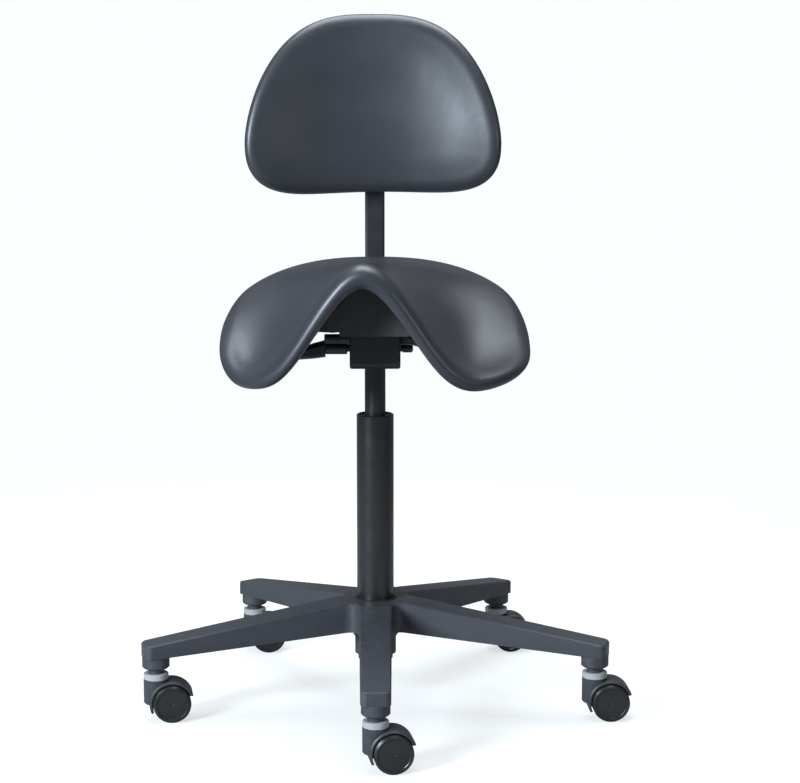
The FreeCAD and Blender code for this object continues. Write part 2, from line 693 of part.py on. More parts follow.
def tilt_axle():
    end = ear_outer() + 4.5
    axle = shaft(TILT_AXLE_RADIUS, -end, end, AXLE_Y, AXLE_Z)
    for side in (-1, 1):
        near = side * (ear_outer() + 0.7)
        far = side * (ear_outer() + 2.0)
        axle = axle.cut(sleeve(TILT_AXLE_RADIUS + 1, TILT_AXLE_RADIUS - 0.8, min(near, far), max(near, far),
                               AXLE_Y, AXLE_Z))
    return axle


def axle_rings():
    rings = []
    for side in (-1, 1):
        near = side * (ear_outer() + 0.75)
        far = side * (ear_outer() + 1.95)
        ring = sleeve(TILT_AXLE_RADIUS + 3.5, TILT_AXLE_RADIUS - 0.75, min(near, far), max(near, far),
                      AXLE_Y, AXLE_Z)
        rings.append(ring.cut(block(-60, 60, AXLE_Y - 2.5, AXLE_Y + 2.5, AXLE_Z - 20, AXLE_Z)))
    return Part.makeCompound(rings)


def axle_bushes():
    bushes = []
    bush_radius = TILT_AXLE_RADIUS + EAR_BUSH_WALL - RUNNING
    for side in (-1, 1):
        near = side * (HOUSING_HALF_WIDTH + 0.2)
        seat = side * (HOUSING_HALF_WIDTH + EAR_GAP - RUNNING)
        far = side * (ear_outer() + 0.2)
        flange = sleeve(bush_radius + 2.5, TILT_AXLE_RADIUS + RUNNING, min(near, seat), max(near, seat),
                        AXLE_Y, AXLE_Z)
        barrel = sleeve(bush_radius, TILT_AXLE_RADIUS + RUNNING, min(near, far), max(near, far), AXLE_Y, AXLE_Z)
        bushes.append(joined([flange, barrel]))
    return Part.makeCompound(bushes)


def height_lever():
    rod = shaft(LEVER_RADIUS, LEVER_LEFT, LEVER_RIGHT, LEVER_Y, LEVER_Z)
    hub = shaft(LEVER_RADIUS + 1.5, -FINGER_HALF_WIDTH, FINGER_HALF_WIDTH, LEVER_Y, LEVER_Z)
    pin_top = CYLINDER_TOP + VALVE_PROUD
    low = pin_top + RUNNING
    high = low + 6.0
    finger = side_prism([(LEVER_Y - 5.0, LEVER_Z), (LEVER_Y - 3.0, LEVER_Z + 12.0), (LEVER_Y + 12.0, high),
                         (5.0, high), (5.0, low), (-8.0, low), (LEVER_Y + 9.0, LEVER_Z + 11.0),
                         (LEVER_Y + 5.0, LEVER_Z)], -FINGER_HALF_WIDTH, FINGER_HALF_WIDTH)
    return joined([rod, hub, finger])


def oval_section(x, y, z, half_depth, half_height, power_cut):
    """A closed wire across X, an oval of two arcs and two straight flanks."""
    flat = half_height * power_cut
    front, rear = y - half_depth, y + half_depth
    top, bottom = z + half_height, z - half_height
    edges = [Part.Arc(vec(x, front, z + flat), vec(x, y, top), vec(x, rear, z + flat)).toShape(),
             Part.LineSegment(vec(x, rear, z + flat), vec(x, rear, z - flat)).toShape(),
             Part.Arc(vec(x, rear, z - flat), vec(x, y, bottom), vec(x, front, z - flat)).toShape(),
             Part.LineSegment(vec(x, front, z - flat), vec(x, front, z + flat)).toShape()]
    return Part.Wire(edges)


def lever_grip():
    """The hand grip on the left end of the cross rod, a blade that widens towards the front."""
    length = GRIP_OUTER - GRIP_INNER
    sections = []
    for share, forward, depth, height in ((0.0, 0.0, 8.5, 11.5), (0.3, 3.0, 11.0, 10.5),
                                          (0.65, 7.0, 14.0, 8.0), (1.0, 9.0, 12.0, 5.0)):
        sections.append(oval_section(GRIP_INNER + share * length, LEVER_Y - forward, LEVER_Z - GRIP_DROP * share,
                                     depth, height, 0.45))
    grip = Part.makeLoft(sections, True, True)
    return grip.cut(shaft(LEVER_RADIUS, LEVER_LEFT, GRIP_INNER + 1, LEVER_Y, LEVER_Z))


def rod_cap():
    cap = shaft(CAP_RADIUS, CAP_LEFT, CAP_RIGHT, LEVER_Y, LEVER_Z)
    cap = bevelled(cap, 2.0, lambda edge: edge.BoundBox.XMin > CAP_RIGHT - 0.01)
    return cap.cut(shaft(LEVER_RADIUS, CAP_LEFT - 1, LEVER_RIGHT, LEVER_Y, LEVER_Z))


def lock_shaft():
    left = KNOB_OUTER + 6.0
    return shaft(LOCK_RADIUS, left, HOUSING_HALF_WIDTH + 14.0, LOCK_Y, LOCK_Z)


def tilt_paddle():
    """The paddle on the right end of the lock shaft, slanting down and out."""
    inner = HOUSING_HALF_WIDTH + LOOSE
    length = PADDLE_OUTER - inner
    sections = []
    for share, drop, depth, height in ((0.0, 0.0, 8.0, 7.5), (0.25, 1.0, 11.0, 7.5),
                                       (0.6, 9.0, 15.0, 5.5), (1.0, 19.0, 13.0, 4.0)):
        sections.append(oval_section(inner + share * length, LOCK_Y - 4.0 * share, LOCK_Z - drop, depth, height,
                                     0.4))
    paddle = Part.makeLoft(sections, True, True)
    return paddle.cut(shaft(LOCK_RADIUS, 0, HOUSING_HALF_WIDTH + 14.0, LOCK_Y, LOCK_Z))


def tension_knob():
    inner = -HOUSING_HALF_WIDTH - LOOSE
    knob = shaft(KNOB_RADIUS, KNOB_OUTER, inner, LOCK_Y, LOCK_Z)
    knob = bevelled(knob, 1.2, lambda edge: edge.BoundBox.XMax < KNOB_OUTER + 0.01)
    for index in range(KNOB_FLUTES):
        turn = 2 * math.pi * index / KNOB_FLUTES
        y = LOCK_Y + (KNOB_RADIUS + 0.7) * math.cos(turn)
        z = LOCK_Z + (KNOB_RADIUS + 0.7) * math.sin(turn)
        knob = knob.cut(shaft(1.2, KNOB_OUTER - 1, KNOB_OUTER + 22.0, y, z))
    return knob.cut(shaft(LOCK_RADIUS + RUNNING, KNOB_OUTER + 5.5, inner + 1, LOCK_Y, LOCK_Z))


def lock_washers():
    washers = []
    for left in (BLADE_X - LOOSE - LOCK_WASHER_THICKNESS, BLADE_X + BLADE_THICKNESS + LOOSE):
        washers.append(sleeve(LOCK_WASHER_RADIUS, LOCK_RADIUS + RUNNING, left, left + LOCK_WASHER_THICKNESS,
                              LOCK_Y, LOCK_Z))
    return Part.makeCompound(washers)


def lock_blade():
    """The slotted blade under the seat plate that the lock shaft clamps."""
    reach = math.hypot(LOCK_Y - AXLE_Y, LOCK_Z - AXLE_Z)
    rest = math.atan2(LOCK_Z - AXLE_Z, LOCK_Y - AXLE_Y)
    half = LOCK_RADIUS + LOOSE
    margin = 4.0
    left, right = BLADE_X, BLADE_X + BLADE_THICKNESS

    def at(radius, turn):
        return AXLE_Y + radius * math.cos(turn), AXLE_Z + radius * math.sin(turn)

    def band(inner, outer, start, end):
        """An arc-shaped plate between two radii and two angles about the tilt axle."""
        middle = (start + end) / 2
        a, b, c = at(inner, start), at(inner, middle), at(inner, end)
        d, e, f = at(outer, end), at(outer, middle), at(outer, start)
        wire = Part.Wire([Part.Arc(vec(left, *a), vec(left, *b), vec(left, *c)).toShape(),
                          Part.LineSegment(vec(left, *c), vec(left, *d)).toShape(),
                          Part.Arc(vec(left, *d), vec(left, *e), vec(left, *f)).toShape(),
                          Part.LineSegment(vec(left, *f), vec(left, *a)).toShape()])
        return Part.Face(wire).extrude(vec(right - left, 0, 0))

    slot_end = rest + math.radians(TILT_MAX + 0.6)
    slot = band(reach - half, reach + half, rest, slot_end)
    for turn in (rest, slot_end):
        y, z = at(reach, turn)
        slot = slot.fuse(shaft(half, left, right, y, z))
    tail = (half + margin) / reach
    body = band(reach - half - margin, reach + half + margin, rest - 3 * tail, slot_end + tail)
    body = body.common(block(left, right, -200, 200, 0, PLATE_BOTTOM + 1))
    return body.cut(slot)


def seat_plate():
    outline = [(-PLATE_HALF_WIDTH, PLATE_FRONT), (PLATE_HALF_WIDTH, PLATE_FRONT),
               (PLATE_HALF_WIDTH, PLATE_REAR), (-PLATE_HALF_WIDTH, PLATE_REAR)]
    plate = rounded(plan_prism(outline, PLATE_BOTTOM, PLATE_TOP), PLATE_CORNER, lambda e: along(e, Z_AXIS))
    pieces = [plate, lock_blade()]
    for side in (-1, 1):
        near = side * (HOUSING_HALF_WIDTH + EAR_GAP)
        far = side * ear_outer()
        left, right = min(near, far), max(near, far)
        ear = side_prism([(AXLE_Y - EAR_RADIUS, AXLE_Z), (AXLE_Y + EAR_RADIUS, AXLE_Z),
                          (AXLE_Y + EAR_RADIUS + 10, PLATE_BOTTOM + 1), (AXLE_Y - EAR_RADIUS - 10, PLATE_BOTTOM + 1)],
                         left, right)
        pieces.append(ear)
        pieces.append(shaft(EAR_RADIUS, left, right, AXLE_Y, AXLE_Z))
    pieces.append(post(SPRING_POST_RADIUS, PLATE_BOTTOM - 8.0, PLATE_BOTTOM + 1, 0, SPRING_Y))
    plate = joined(pieces)
    bush_radius = TILT_AXLE_RADIUS + EAR_BUSH_WALL
    plate = plate.cut(shaft(bush_radius, -60, -20, AXLE_Y, AXLE_Z)).cut(shaft(bush_radius, 20, 60, AXLE_Y, AXLE_Z))
    for x, y in screw_places() + bar_screw_places():
        plate = plate.cut(post(SCREW_RADIUS + RUNNING, PLATE_BOTTOM - 1, PLATE_TOP + 1, x, y))
    return plate


def screw_places():
    return [(x, y) for x in (-SCREW_X, SCREW_X) for y in (SCREW_FRONT, SCREW_REAR)]


def bar_screw_places():
    y = (BAR_START + PLATE_REAR) / 2
    return [(-BAR_WIDTH / 2 - 7.0, y), (BAR_WIDTH / 2 + 7.0, y)]


def screw(x, y, head_low, reach):
    """An upright screw with a rounded head below, its shank going up."""
    head = post(SCREW_HEAD_RADIUS, head_low, head_low + SCREW_HEAD, x, y)
    head = bevelled(head, 1.2, lambda edge: edge.BoundBox.ZMax < head_low + 0.01)
    key = plan_prism([(2.5 * math.cos(math.pi * k / 3), 2.5 * math.sin(math.pi * k / 3)) for k in range(6)],
                     head_low - 1, head_low + 2.2)
    key.translate(vec(x, y, 0))
    return joined([head, post(SCREW_RADIUS, head_low + SCREW_HEAD - 0.5, head_low + SCREW_HEAD + reach, x, y)]).cut(key)


def seat_screws():
    head_low = PLATE_BOTTOM - SCREW_HEAD
    return Part.makeCompound([screw(x, y, head_low, SCREW_REACH) for x, y in screw_places()])


def bar_clamp():
    y = (BAR_START + PLATE_REAR) / 2
    low = PLATE_BOTTOM - BAR_THICKNESS
    half = BAR_WIDTH / 2 + 14.0
    plate = block(-half, half, y - 8.0, y + 8.0, low - 3.0, low)
    for side in (-1, 1):
        near = side * (BAR_WIDTH / 2 + LOOSE)
        far = side * half
        plate = plate.fuse(block(min(near, far), max(near, far), y - 8.0, y + 8.0, low, PLATE_BOTTOM))
    for x, y in bar_screw_places():
        plate = plate.cut(post(SCREW_RADIUS + RUNNING, low - 4, PLATE_BOTTOM + 1, x, y))
    return plate.removeSplitter()


def bar_screws():
    head_low = PLATE_BOTTOM - BAR_THICKNESS - 3.0 - SCREW_HEAD
    return Part.makeCompound([screw(x, y, head_low, BAR_THICKNESS + 3.0 + PLATE_THICKNESS)
                              for x, y in bar_screw_places()])


def bar_direction():
    lean = math.radians(BAR_LEAN)
    return vec(0, -math.sin(lean), math.cos(lean))


def bar_point(z):
    """Middle of the bar's straight upper run at a height."""
    direction = bar_direction()
    travel = (z - BAR_AT_SEAT_Z) / direction.z
    return vec(0, BAR_AT_SEAT_Y, BAR_AT_SEAT_Z) + direction * travel


def back_bar():
    low_z = PLATE_BOTTOM - BAR_THICKNESS / 2
    turn = math.radians(90.0 + BAR_LEAN)
    tangent = BAR_RADIUS * math.tan(turn / 2)
    corner = bar_point(low_z)
    direction = bar_direction()
    start = vec(0, BAR_START, low_z)
    bend_start = corner - Y_AXIS * tangent
    bend_end = corner + direction * tangent
    centre = bend_start + Z_AXIS * BAR_RADIUS
    middle_turn = turn / 2
    bend_middle = centre + vec(0, math.sin(middle_turn), -math.cos(middle_turn)) * BAR_RADIUS
    path = Part.Wire([Part.LineSegment(start, bend_start).toShape(),
                      Part.Arc(bend_start, bend_middle, bend_end).toShape(),
                      Part.LineSegment(bend_end, bar_point(BAR_TOP)).toShape()])
    section = plate_section(BAR_WIDTH, BAR_THICKNESS, BAR_ROUND, start)
    return path.makePipeShell([section], True, False)


def plate_section(width, thickness, corner, centre):
    """A rounded rectangle across Y, about a centre."""
    half_x, half_z = width / 2, thickness / 2
    cut = corner * (1 - math.sqrt(0.5))
    edges = []
    for sx, sz in ((1, 1), (-1, 1), (-1, -1), (1, -1)):
        outer_x, outer_z = sx * half_x, sz * half_z
        first = vec(outer_x, 0, outer_z - sz * corner)
        middle = vec(outer_x - sx * cut, 0, outer_z - sz * cut)
        last = vec(outer_x - sx * corner, 0, outer_z)
        if sx * sz < 0:
            first, last = last, first
        edges.append((first, middle, last))
    wire = []
    for index, (first, middle, last) in enumerate(edges):
        following = edges[(index + 1) % 4][0]
        wire.append(Part.Arc(first + centre, middle + centre, last + centre).toShape())
        wire.append(Part.LineSegment(last + centre, following + centre).toShape())
    return Part.Wire(wire)


def spring_height(turn):
    """Height of the spring's wire after a number of turns: closed end coils, open ones between."""
    low = HOUSING_BOTTOM + HOUSING_WALL + SPRING_WIRE + LOOSE
    high = PLATE_BOTTOM - SPRING_WIRE - LOOSE
    closed = 2 * SPRING_WIRE + SPRING_COIL_GAP
    open_pitch = (high - low - 2 * closed) / (SPRING_TURNS - 2)
    if turn < 1:
        return low + closed * turn
    if turn > SPRING_TURNS - 1:
        return high - closed * (SPRING_TURNS - turn)
    return low + closed + open_pitch * (turn - 1)


def spring_point(turn):
    angle = 2 * math.pi * turn
    return vec(SPRING_RADIUS * math.cos(angle), SPRING_Y + SPRING_RADIUS * math.sin(angle), spring_height(turn))


def spring_tangent(turn):
    angle = 2 * math.pi * turn
    step = 0.2
    first, last = max(0.0, turn - step), min(SPRING_TURNS, turn + step)
    rise = (spring_height(last) - spring_height(first)) / (last - first) / (2 * math.pi * SPRING_RADIUS)
    return vec(-math.sin(angle), math.cos(angle), rise).normalize()


def bend(first, corner, last):
    """The arc that leaves first towards the corner and reaches last from it."""
    middle = (first + last) * 0.5
    half = (last - first).Length / 2
    rise = (corner - middle).Length
    angle = math.atan2(rise, half)
    sagitta = half / math.sin(angle) * (1 - math.cos(angle))
    return Part.Arc(first, middle + (corner - middle).normalize() * sagitta, last).toShape()


def biarc(first, leaving, last, arriving):
    """Two arcs that join two points with given tangents and meet smoothly between them."""
    run = last - first
    both = leaving + arriving
    a = 2 * (1 - leaving.dot(arriving))
    b = 2 * run.dot(both)
    reach = (-b + math.sqrt(b * b + 4 * a * run.dot(run))) / (2 * a)
    near = first + leaving * reach
    far = last - arriving * reach
    joint = (near + far) * 0.5
    return [bend(first, near, joint), bend(joint, far, last)]


def return_spring():
    """A compression spring between the housing's floor and the seat plate."""
    edges = []
    for quarter in range(4 * SPRING_TURNS):
        start, end = quarter / 4, (quarter + 1) / 4
        edges += biarc(spring_point(start), spring_tangent(start), spring_point(end), spring_tangent(end))
    section = Part.Wire([Part.makeCircle(SPRING_WIRE, spring_point(0), spring_tangent(0))])
    samples = [spring_point(index / 24) for index in range(24 * SPRING_TURNS + 1)]
    gap = min((samples[i] - samples[j]).Length for i in range(len(samples)) for j in range(i + 12, len(samples)))
    print("spring's least gap to itself, mm:", round(gap - 2 * SPRING_WIRE, 2))
    return Part.Wire(edges).makePipeShell([section], True, False)


def seat_half_width(y):
    if y < SEAT_WIDEST:
        share = (SEAT_WIDEST - y) / (SEAT_WIDEST - SEAT_FRONT)
        power = SEAT_FRONT_POWER
    else:
        share = (y - SEAT_WIDEST) / (SEAT_REAR - SEAT_WIDEST)
        power = SEAT_REAR_POWER
    return SEAT_HALF_WIDTH * (1 - share ** power) ** (1 / power)


def seat_crest(y):
    if y > SEAT_DIP_Y:
        return SEAT_DIP + REAR_RISE * ((y - SEAT_DIP_Y) / (SEAT_REAR - SEAT_DIP_Y)) ** 2
    return SEAT_DIP + POMMEL_RISE * ((SEAT_DIP_Y - y) / (SEAT_DIP_Y - SEAT_FRONT)) ** 2


def seat_top(x, y):
    """Height of the saddle's top face."""
    crest = seat_crest(y)
    width = max(seat_half_width(y), 1.0)
    back_share = (y - SEAT_FRONT) / (SEAT_REAR - SEAT_FRONT)
    rim = min(crest - 1.0, FRONT_RIM + (REAR_RIM - FRONT_RIM) * back_share ** RIM_POWER)
    rear_form = crest - (crest - rim) * min(1.0, abs(x) / width) ** REAR_POWER
    swing = 0.5 - 0.5 * math.cos(math.pi * abs(x) / LOBE_X)
    front_form = crest - FRONT_DROP * swing
    front_share = smooth((FRONT_SHAPE_START - y) / (FRONT_SHAPE_START - FRONT_SHAPE_END))
    return rear_form + (front_form - rear_form) * front_share


def curve_edge(first, middle, last):
    """An arc through three points, or a line where they lie in one."""
    if (middle - (first + last) * 0.5).Length < 0.02:
        return Part.LineSegment(first, last).toShape()
    return Part.Arc(first, middle, last).toShape()


def seat_section(y, half_width, thickness, upper_gap, lower_gap):
    """A closed cross-section of the saddle at y: top, rounded rim, underside, rounded rim."""
    reach = half_width - 0.45 * thickness
    count = 2 * SEAT_STRIPS
    tops = []
    bottoms = []
    for index in range(count + 1):
        x = reach * (2.0 * index / count - 1.0)
        z = seat_top(x, y)
        slope = (seat_top(x + 0.5, y) - seat_top(x - 0.5, y))
        length = math.hypot(1.0, slope)
        tops.append(vec(x - upper_gap * slope / length, y, z + upper_gap / length))
        swell = SEAT_MIDDLE_SHARE + (1 - SEAT_MIDDLE_SHARE) * (x / reach) ** 4
        drop = thickness * swell + lower_gap
        bottoms.append(vec(x + drop * slope / length, y, z - drop / length))
    edges = []
    for index in range(0, count, 2):
        edges.append(curve_edge(tops[index], tops[index + 1], tops[index + 2]))
    edges.append(rim_edge(tops[-1], bottoms[-1], thickness, 1))
    for index in range(count, 0, -2):
        edges.append(curve_edge(bottoms[index], bottoms[index - 1], bottoms[index - 2]))
    edges.append(rim_edge(bottoms[0], tops[0], thickness, -1))
    return Part.Wire(edges)


def rim_edge(first, last, thickness, side):
    middle = (first + last) * 0.5
    across = last - first
    outward = vec(-across.z, 0, across.x)
    if outward.x * side < 0:
        outward = outward * -1
    return Part.Arc(first, middle + outward.normalize() * (0.45 * thickness), last).toShape()


def seat_stations():
    """Places along Y for the saddle's cross-sections, each with its thickness."""
    length = SEAT_REAR - SEAT_FRONT
    shares = (0.004, 0.02, 0.05, 0.1, 0.17, 0.26, 0.36, 0.46, 0.56, 0.66, 0.75, 0.83, 0.9, 0.95, 0.98, 0.996)
    stations = []
    for share in shares:
        near_end = min(share, 1 - share) / 0.09
        thickness = SEAT_END_THICKNESS + (SEAT_THICKNESS - SEAT_END_THICKNESS) * min(1.0, near_end) ** 0.6
        stations.append((SEAT_FRONT + share * length, thickness))
    return stations


def seat_form(upper_gap, lower_gap):
    wires = []
    for y, thickness in seat_stations():
        wires.append(seat_section(y, seat_half_width(y), thickness, upper_gap, lower_gap))
    return Part.makeLoft(wires, True, True)


def seat_cushion():
    return seat_form(0.0, 0.0)


def seat_pan():
    """The stiff tray under the saddle: flat floor, walls up to the underside, screw bosses."""
    top = SEAT_DIP + POMMEL_RISE
    outline = [(-PAN_HALF_WIDTH, PAN_FRONT), (PAN_HALF_WIDTH, PAN_FRONT), (PAN_HALF_WIDTH, PAN_REAR),
               (-PAN_HALF_WIDTH, PAN_REAR)]
    outer = rounded(plan_prism(outline, PLATE_TOP, top), PAN_CORNER, lambda e: along(e, Z_AXIS))
    wall = PAN_WALL
    outline = [(-PAN_HALF_WIDTH + wall, PAN_FRONT + wall), (PAN_HALF_WIDTH - wall, PAN_FRONT + wall),
               (PAN_HALF_WIDTH - wall, PAN_REAR - wall), (-PAN_HALF_WIDTH + wall, PAN_REAR - wall)]
    inner = rounded(plan_prism(outline, PLATE_TOP + wall, top + 1), PAN_CORNER - wall, lambda e: along(e, Z_AXIS))
    tray = outer.cut(inner)
    ribs = []
    for x in (-PAN_HALF_WIDTH / 3, PAN_HALF_WIDTH / 3):
        ribs.append(block(x - 1.5, x + 1.5, PAN_FRONT + 1, PAN_REAR - 1, PLATE_TOP + 1, top))
    for x, y in screw_places():
        ribs.append(post(SCREW_HEAD_RADIUS + 1.0, PLATE_TOP + 1, PLATE_TOP + SCREW_REACH + 2.0, x, y))
    tray = joined([tray] + ribs)
    for x, y in screw_places():
        tray = tray.cut(post(SCREW_RADIUS + RUNNING, 0, PLATE_TOP + SCREW_REACH, x, y))
    for x, y in bar_screw_places():
        tray = tray.cut(post(SCREW_RADIUS + LOOSE, 0, PLATE_TOP + 6.0, x, y))
    return largest(tray.cut(seat_form(SOFT_GAP, SOFT_GAP)))


def largest(shape):
    return max(shape.Solids, key=lambda solid: solid.Volume)


def back_half_width(z):
    if z > BACK_WIDEST:
        share = (z - BACK_WIDEST) / (BACK_TOP - BACK_WIDEST)
        power = BACK_UPPER_POWER
    else:
        share = (BACK_WIDEST - z) / (BACK_WIDEST - BACK_BOTTOM)
        power = BACK_LOWER_POWER
    return BACK_HALF_WIDTH * (1 - min(share, 0.9999) ** power) ** (1 / power)


def back_face(x, z):
    """Y of the backrest's front face: it wraps forwards at the sides and leans back a little above."""
    lumbar = 9.0 * smooth((z - BACK_WIDEST) / (BACK_TOP - BACK_WIDEST))
    return BACK_FACE_Y + lumbar - BACK_WRAP * (x / BACK_HALF_WIDTH) ** 2


def back_section(z, thickness):
    half = back_half_width(z)
    reach = max(half - 0.42 * thickness, 4.0)
    inset = (BACK_THICKNESS - thickness) / 2
    xs = [reach * share for share in (-1.0, -0.75, -0.5, -0.25, 0.0, 0.25, 0.5, 0.75, 1.0)]
    fronts = [vec(x, back_face(x, z) + inset, z) for x in xs]
    rears = [vec(x * 0.985, back_face(x, z) + inset + thickness - 0.16 * thickness * (x / reach) ** 2, z) for x in xs]
    edges = [curve_edge(fronts[i], fronts[i + 1], fronts[i + 2]) for i in (0, 2, 4, 6)]
    edges.append(side_edge(fronts[-1], rears[-1], thickness, 1))
    edges += [curve_edge(rears[i], rears[i - 1], rears[i - 2]) for i in (8, 6, 4, 2)]
    edges.append(side_edge(rears[0], fronts[0], thickness, -1))
    return Part.Wire(edges)


def side_edge(first, last, thickness, side):
    middle = (first + last) * 0.5 + vec(side * 0.4 * thickness, 0, 0)
    return Part.Arc(first, middle, last).toShape()


def backrest_cushion():
    height = BACK_TOP - BACK_BOTTOM
    wires = []
    for share in (0.0, 0.03, 0.1, 0.25, 0.45, 0.65, 0.82, 0.93, 0.985, 1.0):
        near_end = min(share, 1 - share) / 0.1
        thickness = BACK_END_THICKNESS + (BACK_THICKNESS - BACK_END_THICKNESS) * min(1.0, near_end) ** 0.6
        z = BACK_BOTTOM + height * min(max(share, 0.004), 0.992)
        section = back_section(z, thickness)
        section.translate(vec(0, 0, BACK_BOTTOM + height * share - z))
        wires.append(section)
    pad = Part.makeLoft(wires, True, True)
    half = BACK_PLATE_HALF_WIDTH + SOFT_GAP
    front = plate_front_y() - SOFT_GAP
    recess = block(-half, half, front, 400, BACK_PLATE_BOTTOM - SOFT_GAP, BACK_PLATE_TOP + SOFT_GAP)
    pad = pad.cut(recess)
    for x, z in back_screw_places():
        hole = Part.makeCylinder(SCREW_RADIUS + SOFT_GAP, 14.0, vec(x, front - 13.0, z), Y_AXIS)
        pad = pad.cut(hole)
    return pad


def plate_front_y():
    return BACK_REAR_Y - BACK_PLATE_THICKNESS - 1.0


def back_screw_places():
    x = BACK_PLATE_HALF_WIDTH - 14.0
    return [(sx * x, z) for sx in (-1, 1) for z in (BACK_PLATE_BOTTOM + 14.0, BACK_PLATE_TOP - 14.0)]


def back_plate():
    front = plate_front_y()
    half = BACK_PLATE_HALF_WIDTH
    plate = block(-half, half, front, front + BACK_PLATE_THICKNESS, BACK_PLATE_BOTTOM, BACK_PLATE_TOP)
    plate = rounded(plate, 10.0, lambda e: along(e, Y_AXIS))
    for x, z in back_screw_places():
        plate = plate.cut(Part.makeCylinder(SCREW_RADIUS + RUNNING, 20, vec(x, front - 5, z), Y_AXIS))
    return plate


def back_screws():
    front = plate_front_y()
    screws = []
    for x, z in back_screw_places():
        one = screw(0, 0, 0, 14.0)
        one.rotate(vec(0, 0, 0), X_AXIS, 90)
        one.translate(vec(x, front + BACK_PLATE_THICKNESS + SCREW_HEAD, z))
        screws.append(one)
    return Part.makeCompound(screws)


def bar_box(width, thickness, low, high):
    """A box along the bar's upper run, between two heights of the run's middle line."""
    start = bar_point(low)
    end = bar_point(high)
    box = Part.makeBox(width, thickness, (end - start).Length, vec(-width / 2, -thickness / 2, 0))
    box.rotate(vec(0, 0, 0), X_AXIS, BAR_LEAN)
    box.translate(start)
    return box


def carrier():
    """The slide that carries the backrest on the bar, a moulding bolted to the back plate."""
    front = plate_front_y() + BACK_PLATE_THICKNESS
    rear = BAR_THICKNESS / 2 + LOOSE + CARRIER_WALL
    lean = math.radians(BAR_LEAN)
    low, high = bar_point(CARRIER_BOTTOM), bar_point(CARRIER_TOP)
    back_low = (low.y + rear * math.cos(lean), low.z + rear * math.sin(lean))
    back_high = (high.y + rear * math.cos(lean), high.z + rear * math.sin(lean))
    body = side_prism([(front, CARRIER_BOTTOM - 10.0), (back_low[0], back_low[1]), (back_high[0], back_high[1]),
                       (front, CARRIER_TOP + 10.0)], -CARRIER_HALF_WIDTH, CARRIER_HALF_WIDTH)
    body = rounded(body, 3.0, lambda e: e.BoundBox.YMin > front + 5 and not along(e, X_AXIS))
    channel = bar_box(BAR_WIDTH + 2 * LOOSE, BAR_THICKNESS + 2 * LOOSE, CARRIER_BOTTOM - 60, CARRIER_TOP + 60)
    return body.cut(channel).cut(clamp_post(CLAMP_RADIUS + RUNNING, 0.0, 60.0))


def clamp_post(radius, start, end):
    """A cylinder square to the bar, from a distance behind the bar's middle to another."""
    lean = math.radians(BAR_LEAN)
    outward = vec(0, math.cos(lean), math.sin(lean))
    return Part.makeCylinder(radius, end - start, bar_point(CLAMP_Z) + outward * start, outward)


def clamp_knob():
    start = BAR_THICKNESS / 2 + 0.15
    neck = start + CARRIER_WALL + 4.0
    screw_part = clamp_post(CLAMP_RADIUS, start, neck + 1)
    head = clamp_post(CLAMP_HEAD_RADIUS, neck, neck + CLAMP_HEAD)
    lean = math.radians(BAR_LEAN)
    outward = vec(0, math.cos(lean), math.sin(lean))
    up = bar_direction()
    for index in range(CLAMP_LOBES):
        turn = 2 * math.pi * index / CLAMP_LOBES
        offset = (X_AXIS * math.cos(turn) + up * math.sin(turn)) * (CLAMP_HEAD_RADIUS + 4.0)
        base = bar_point(CLAMP_Z) + outward * (neck - 1) + offset
        head = head.cut(Part.makeCylinder(8.0, CLAMP_HEAD + 2, base, outward))
    return joined([screw_part, head])


def build():
    parts["star_base"] = star_base()
    parts["column_tube"] = column_tube()
    parts["guide_bush"] = guide_bush()
    parts["caster_stems"] = caster_stems()
    add_casters()
    parts["piston_rod"] = piston_rod()
    parts["gas_piston"] = gas_piston()
    parts["thrust_bearing"] = thrust_bearing()
    parts["thrust_washers"] = thrust_washers()
    parts["bump_stop"] = bump_stop()
    parts["retaining_clip"] = retaining_clip()
    parts["gas_cylinder"] = gas_cylinder()
    parts["cylinder_gland"] = cylinder_gland()
    parts["valve_pin"] = valve_pin()
    parts["taper_socket"] = taper_socket()
    parts["mech_housing"] = mech_housing()
    parts["tilt_axle"] = tilt_axle()
    parts["axle_rings"] = axle_rings()
    parts["axle_bushes"] = axle_bushes()
    parts["height_lever"] = height_lever()
    parts["lever_grip"] = lever_grip()
    parts["rod_cap"] = rod_cap()
    parts["lock_shaft"] = lock_shaft()
    parts["tilt_paddle"] = tilt_paddle()
    parts["tension_knob"] = tension_knob()
    parts["lock_washers"] = lock_washers()
    parts["return_spring"] = return_spring()
    parts["seat_plate"] = seat_plate()
    parts["seat_screws"] = seat_screws()
    parts["seat_cushion"] = seat_cushion()
    parts["seat_pan"] = seat_pan()
    parts["back_bar"] = back_bar()
    parts["bar_clamp"] = bar_clamp()
    parts["bar_screws"] = bar_screws()
    parts["backrest_cushion"] = backrest_cushion()
    parts["back_plate"] = back_plate()
    parts["back_screws"] = back_screws()
    parts["back_carrier"] = carrier()
    parts["clamp_knob"] = clamp_knob()


build()
os.makedirs("parts", exist_ok=True)
for name, shape in parts.items():
    shape.exportStep(os.path.join("parts", name + ".step"))
print("nodes", len(parts))
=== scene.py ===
"""Looks of the saddle stool: materials, the two moulded cushions, studio and camera, around the CAD frame."""

import math

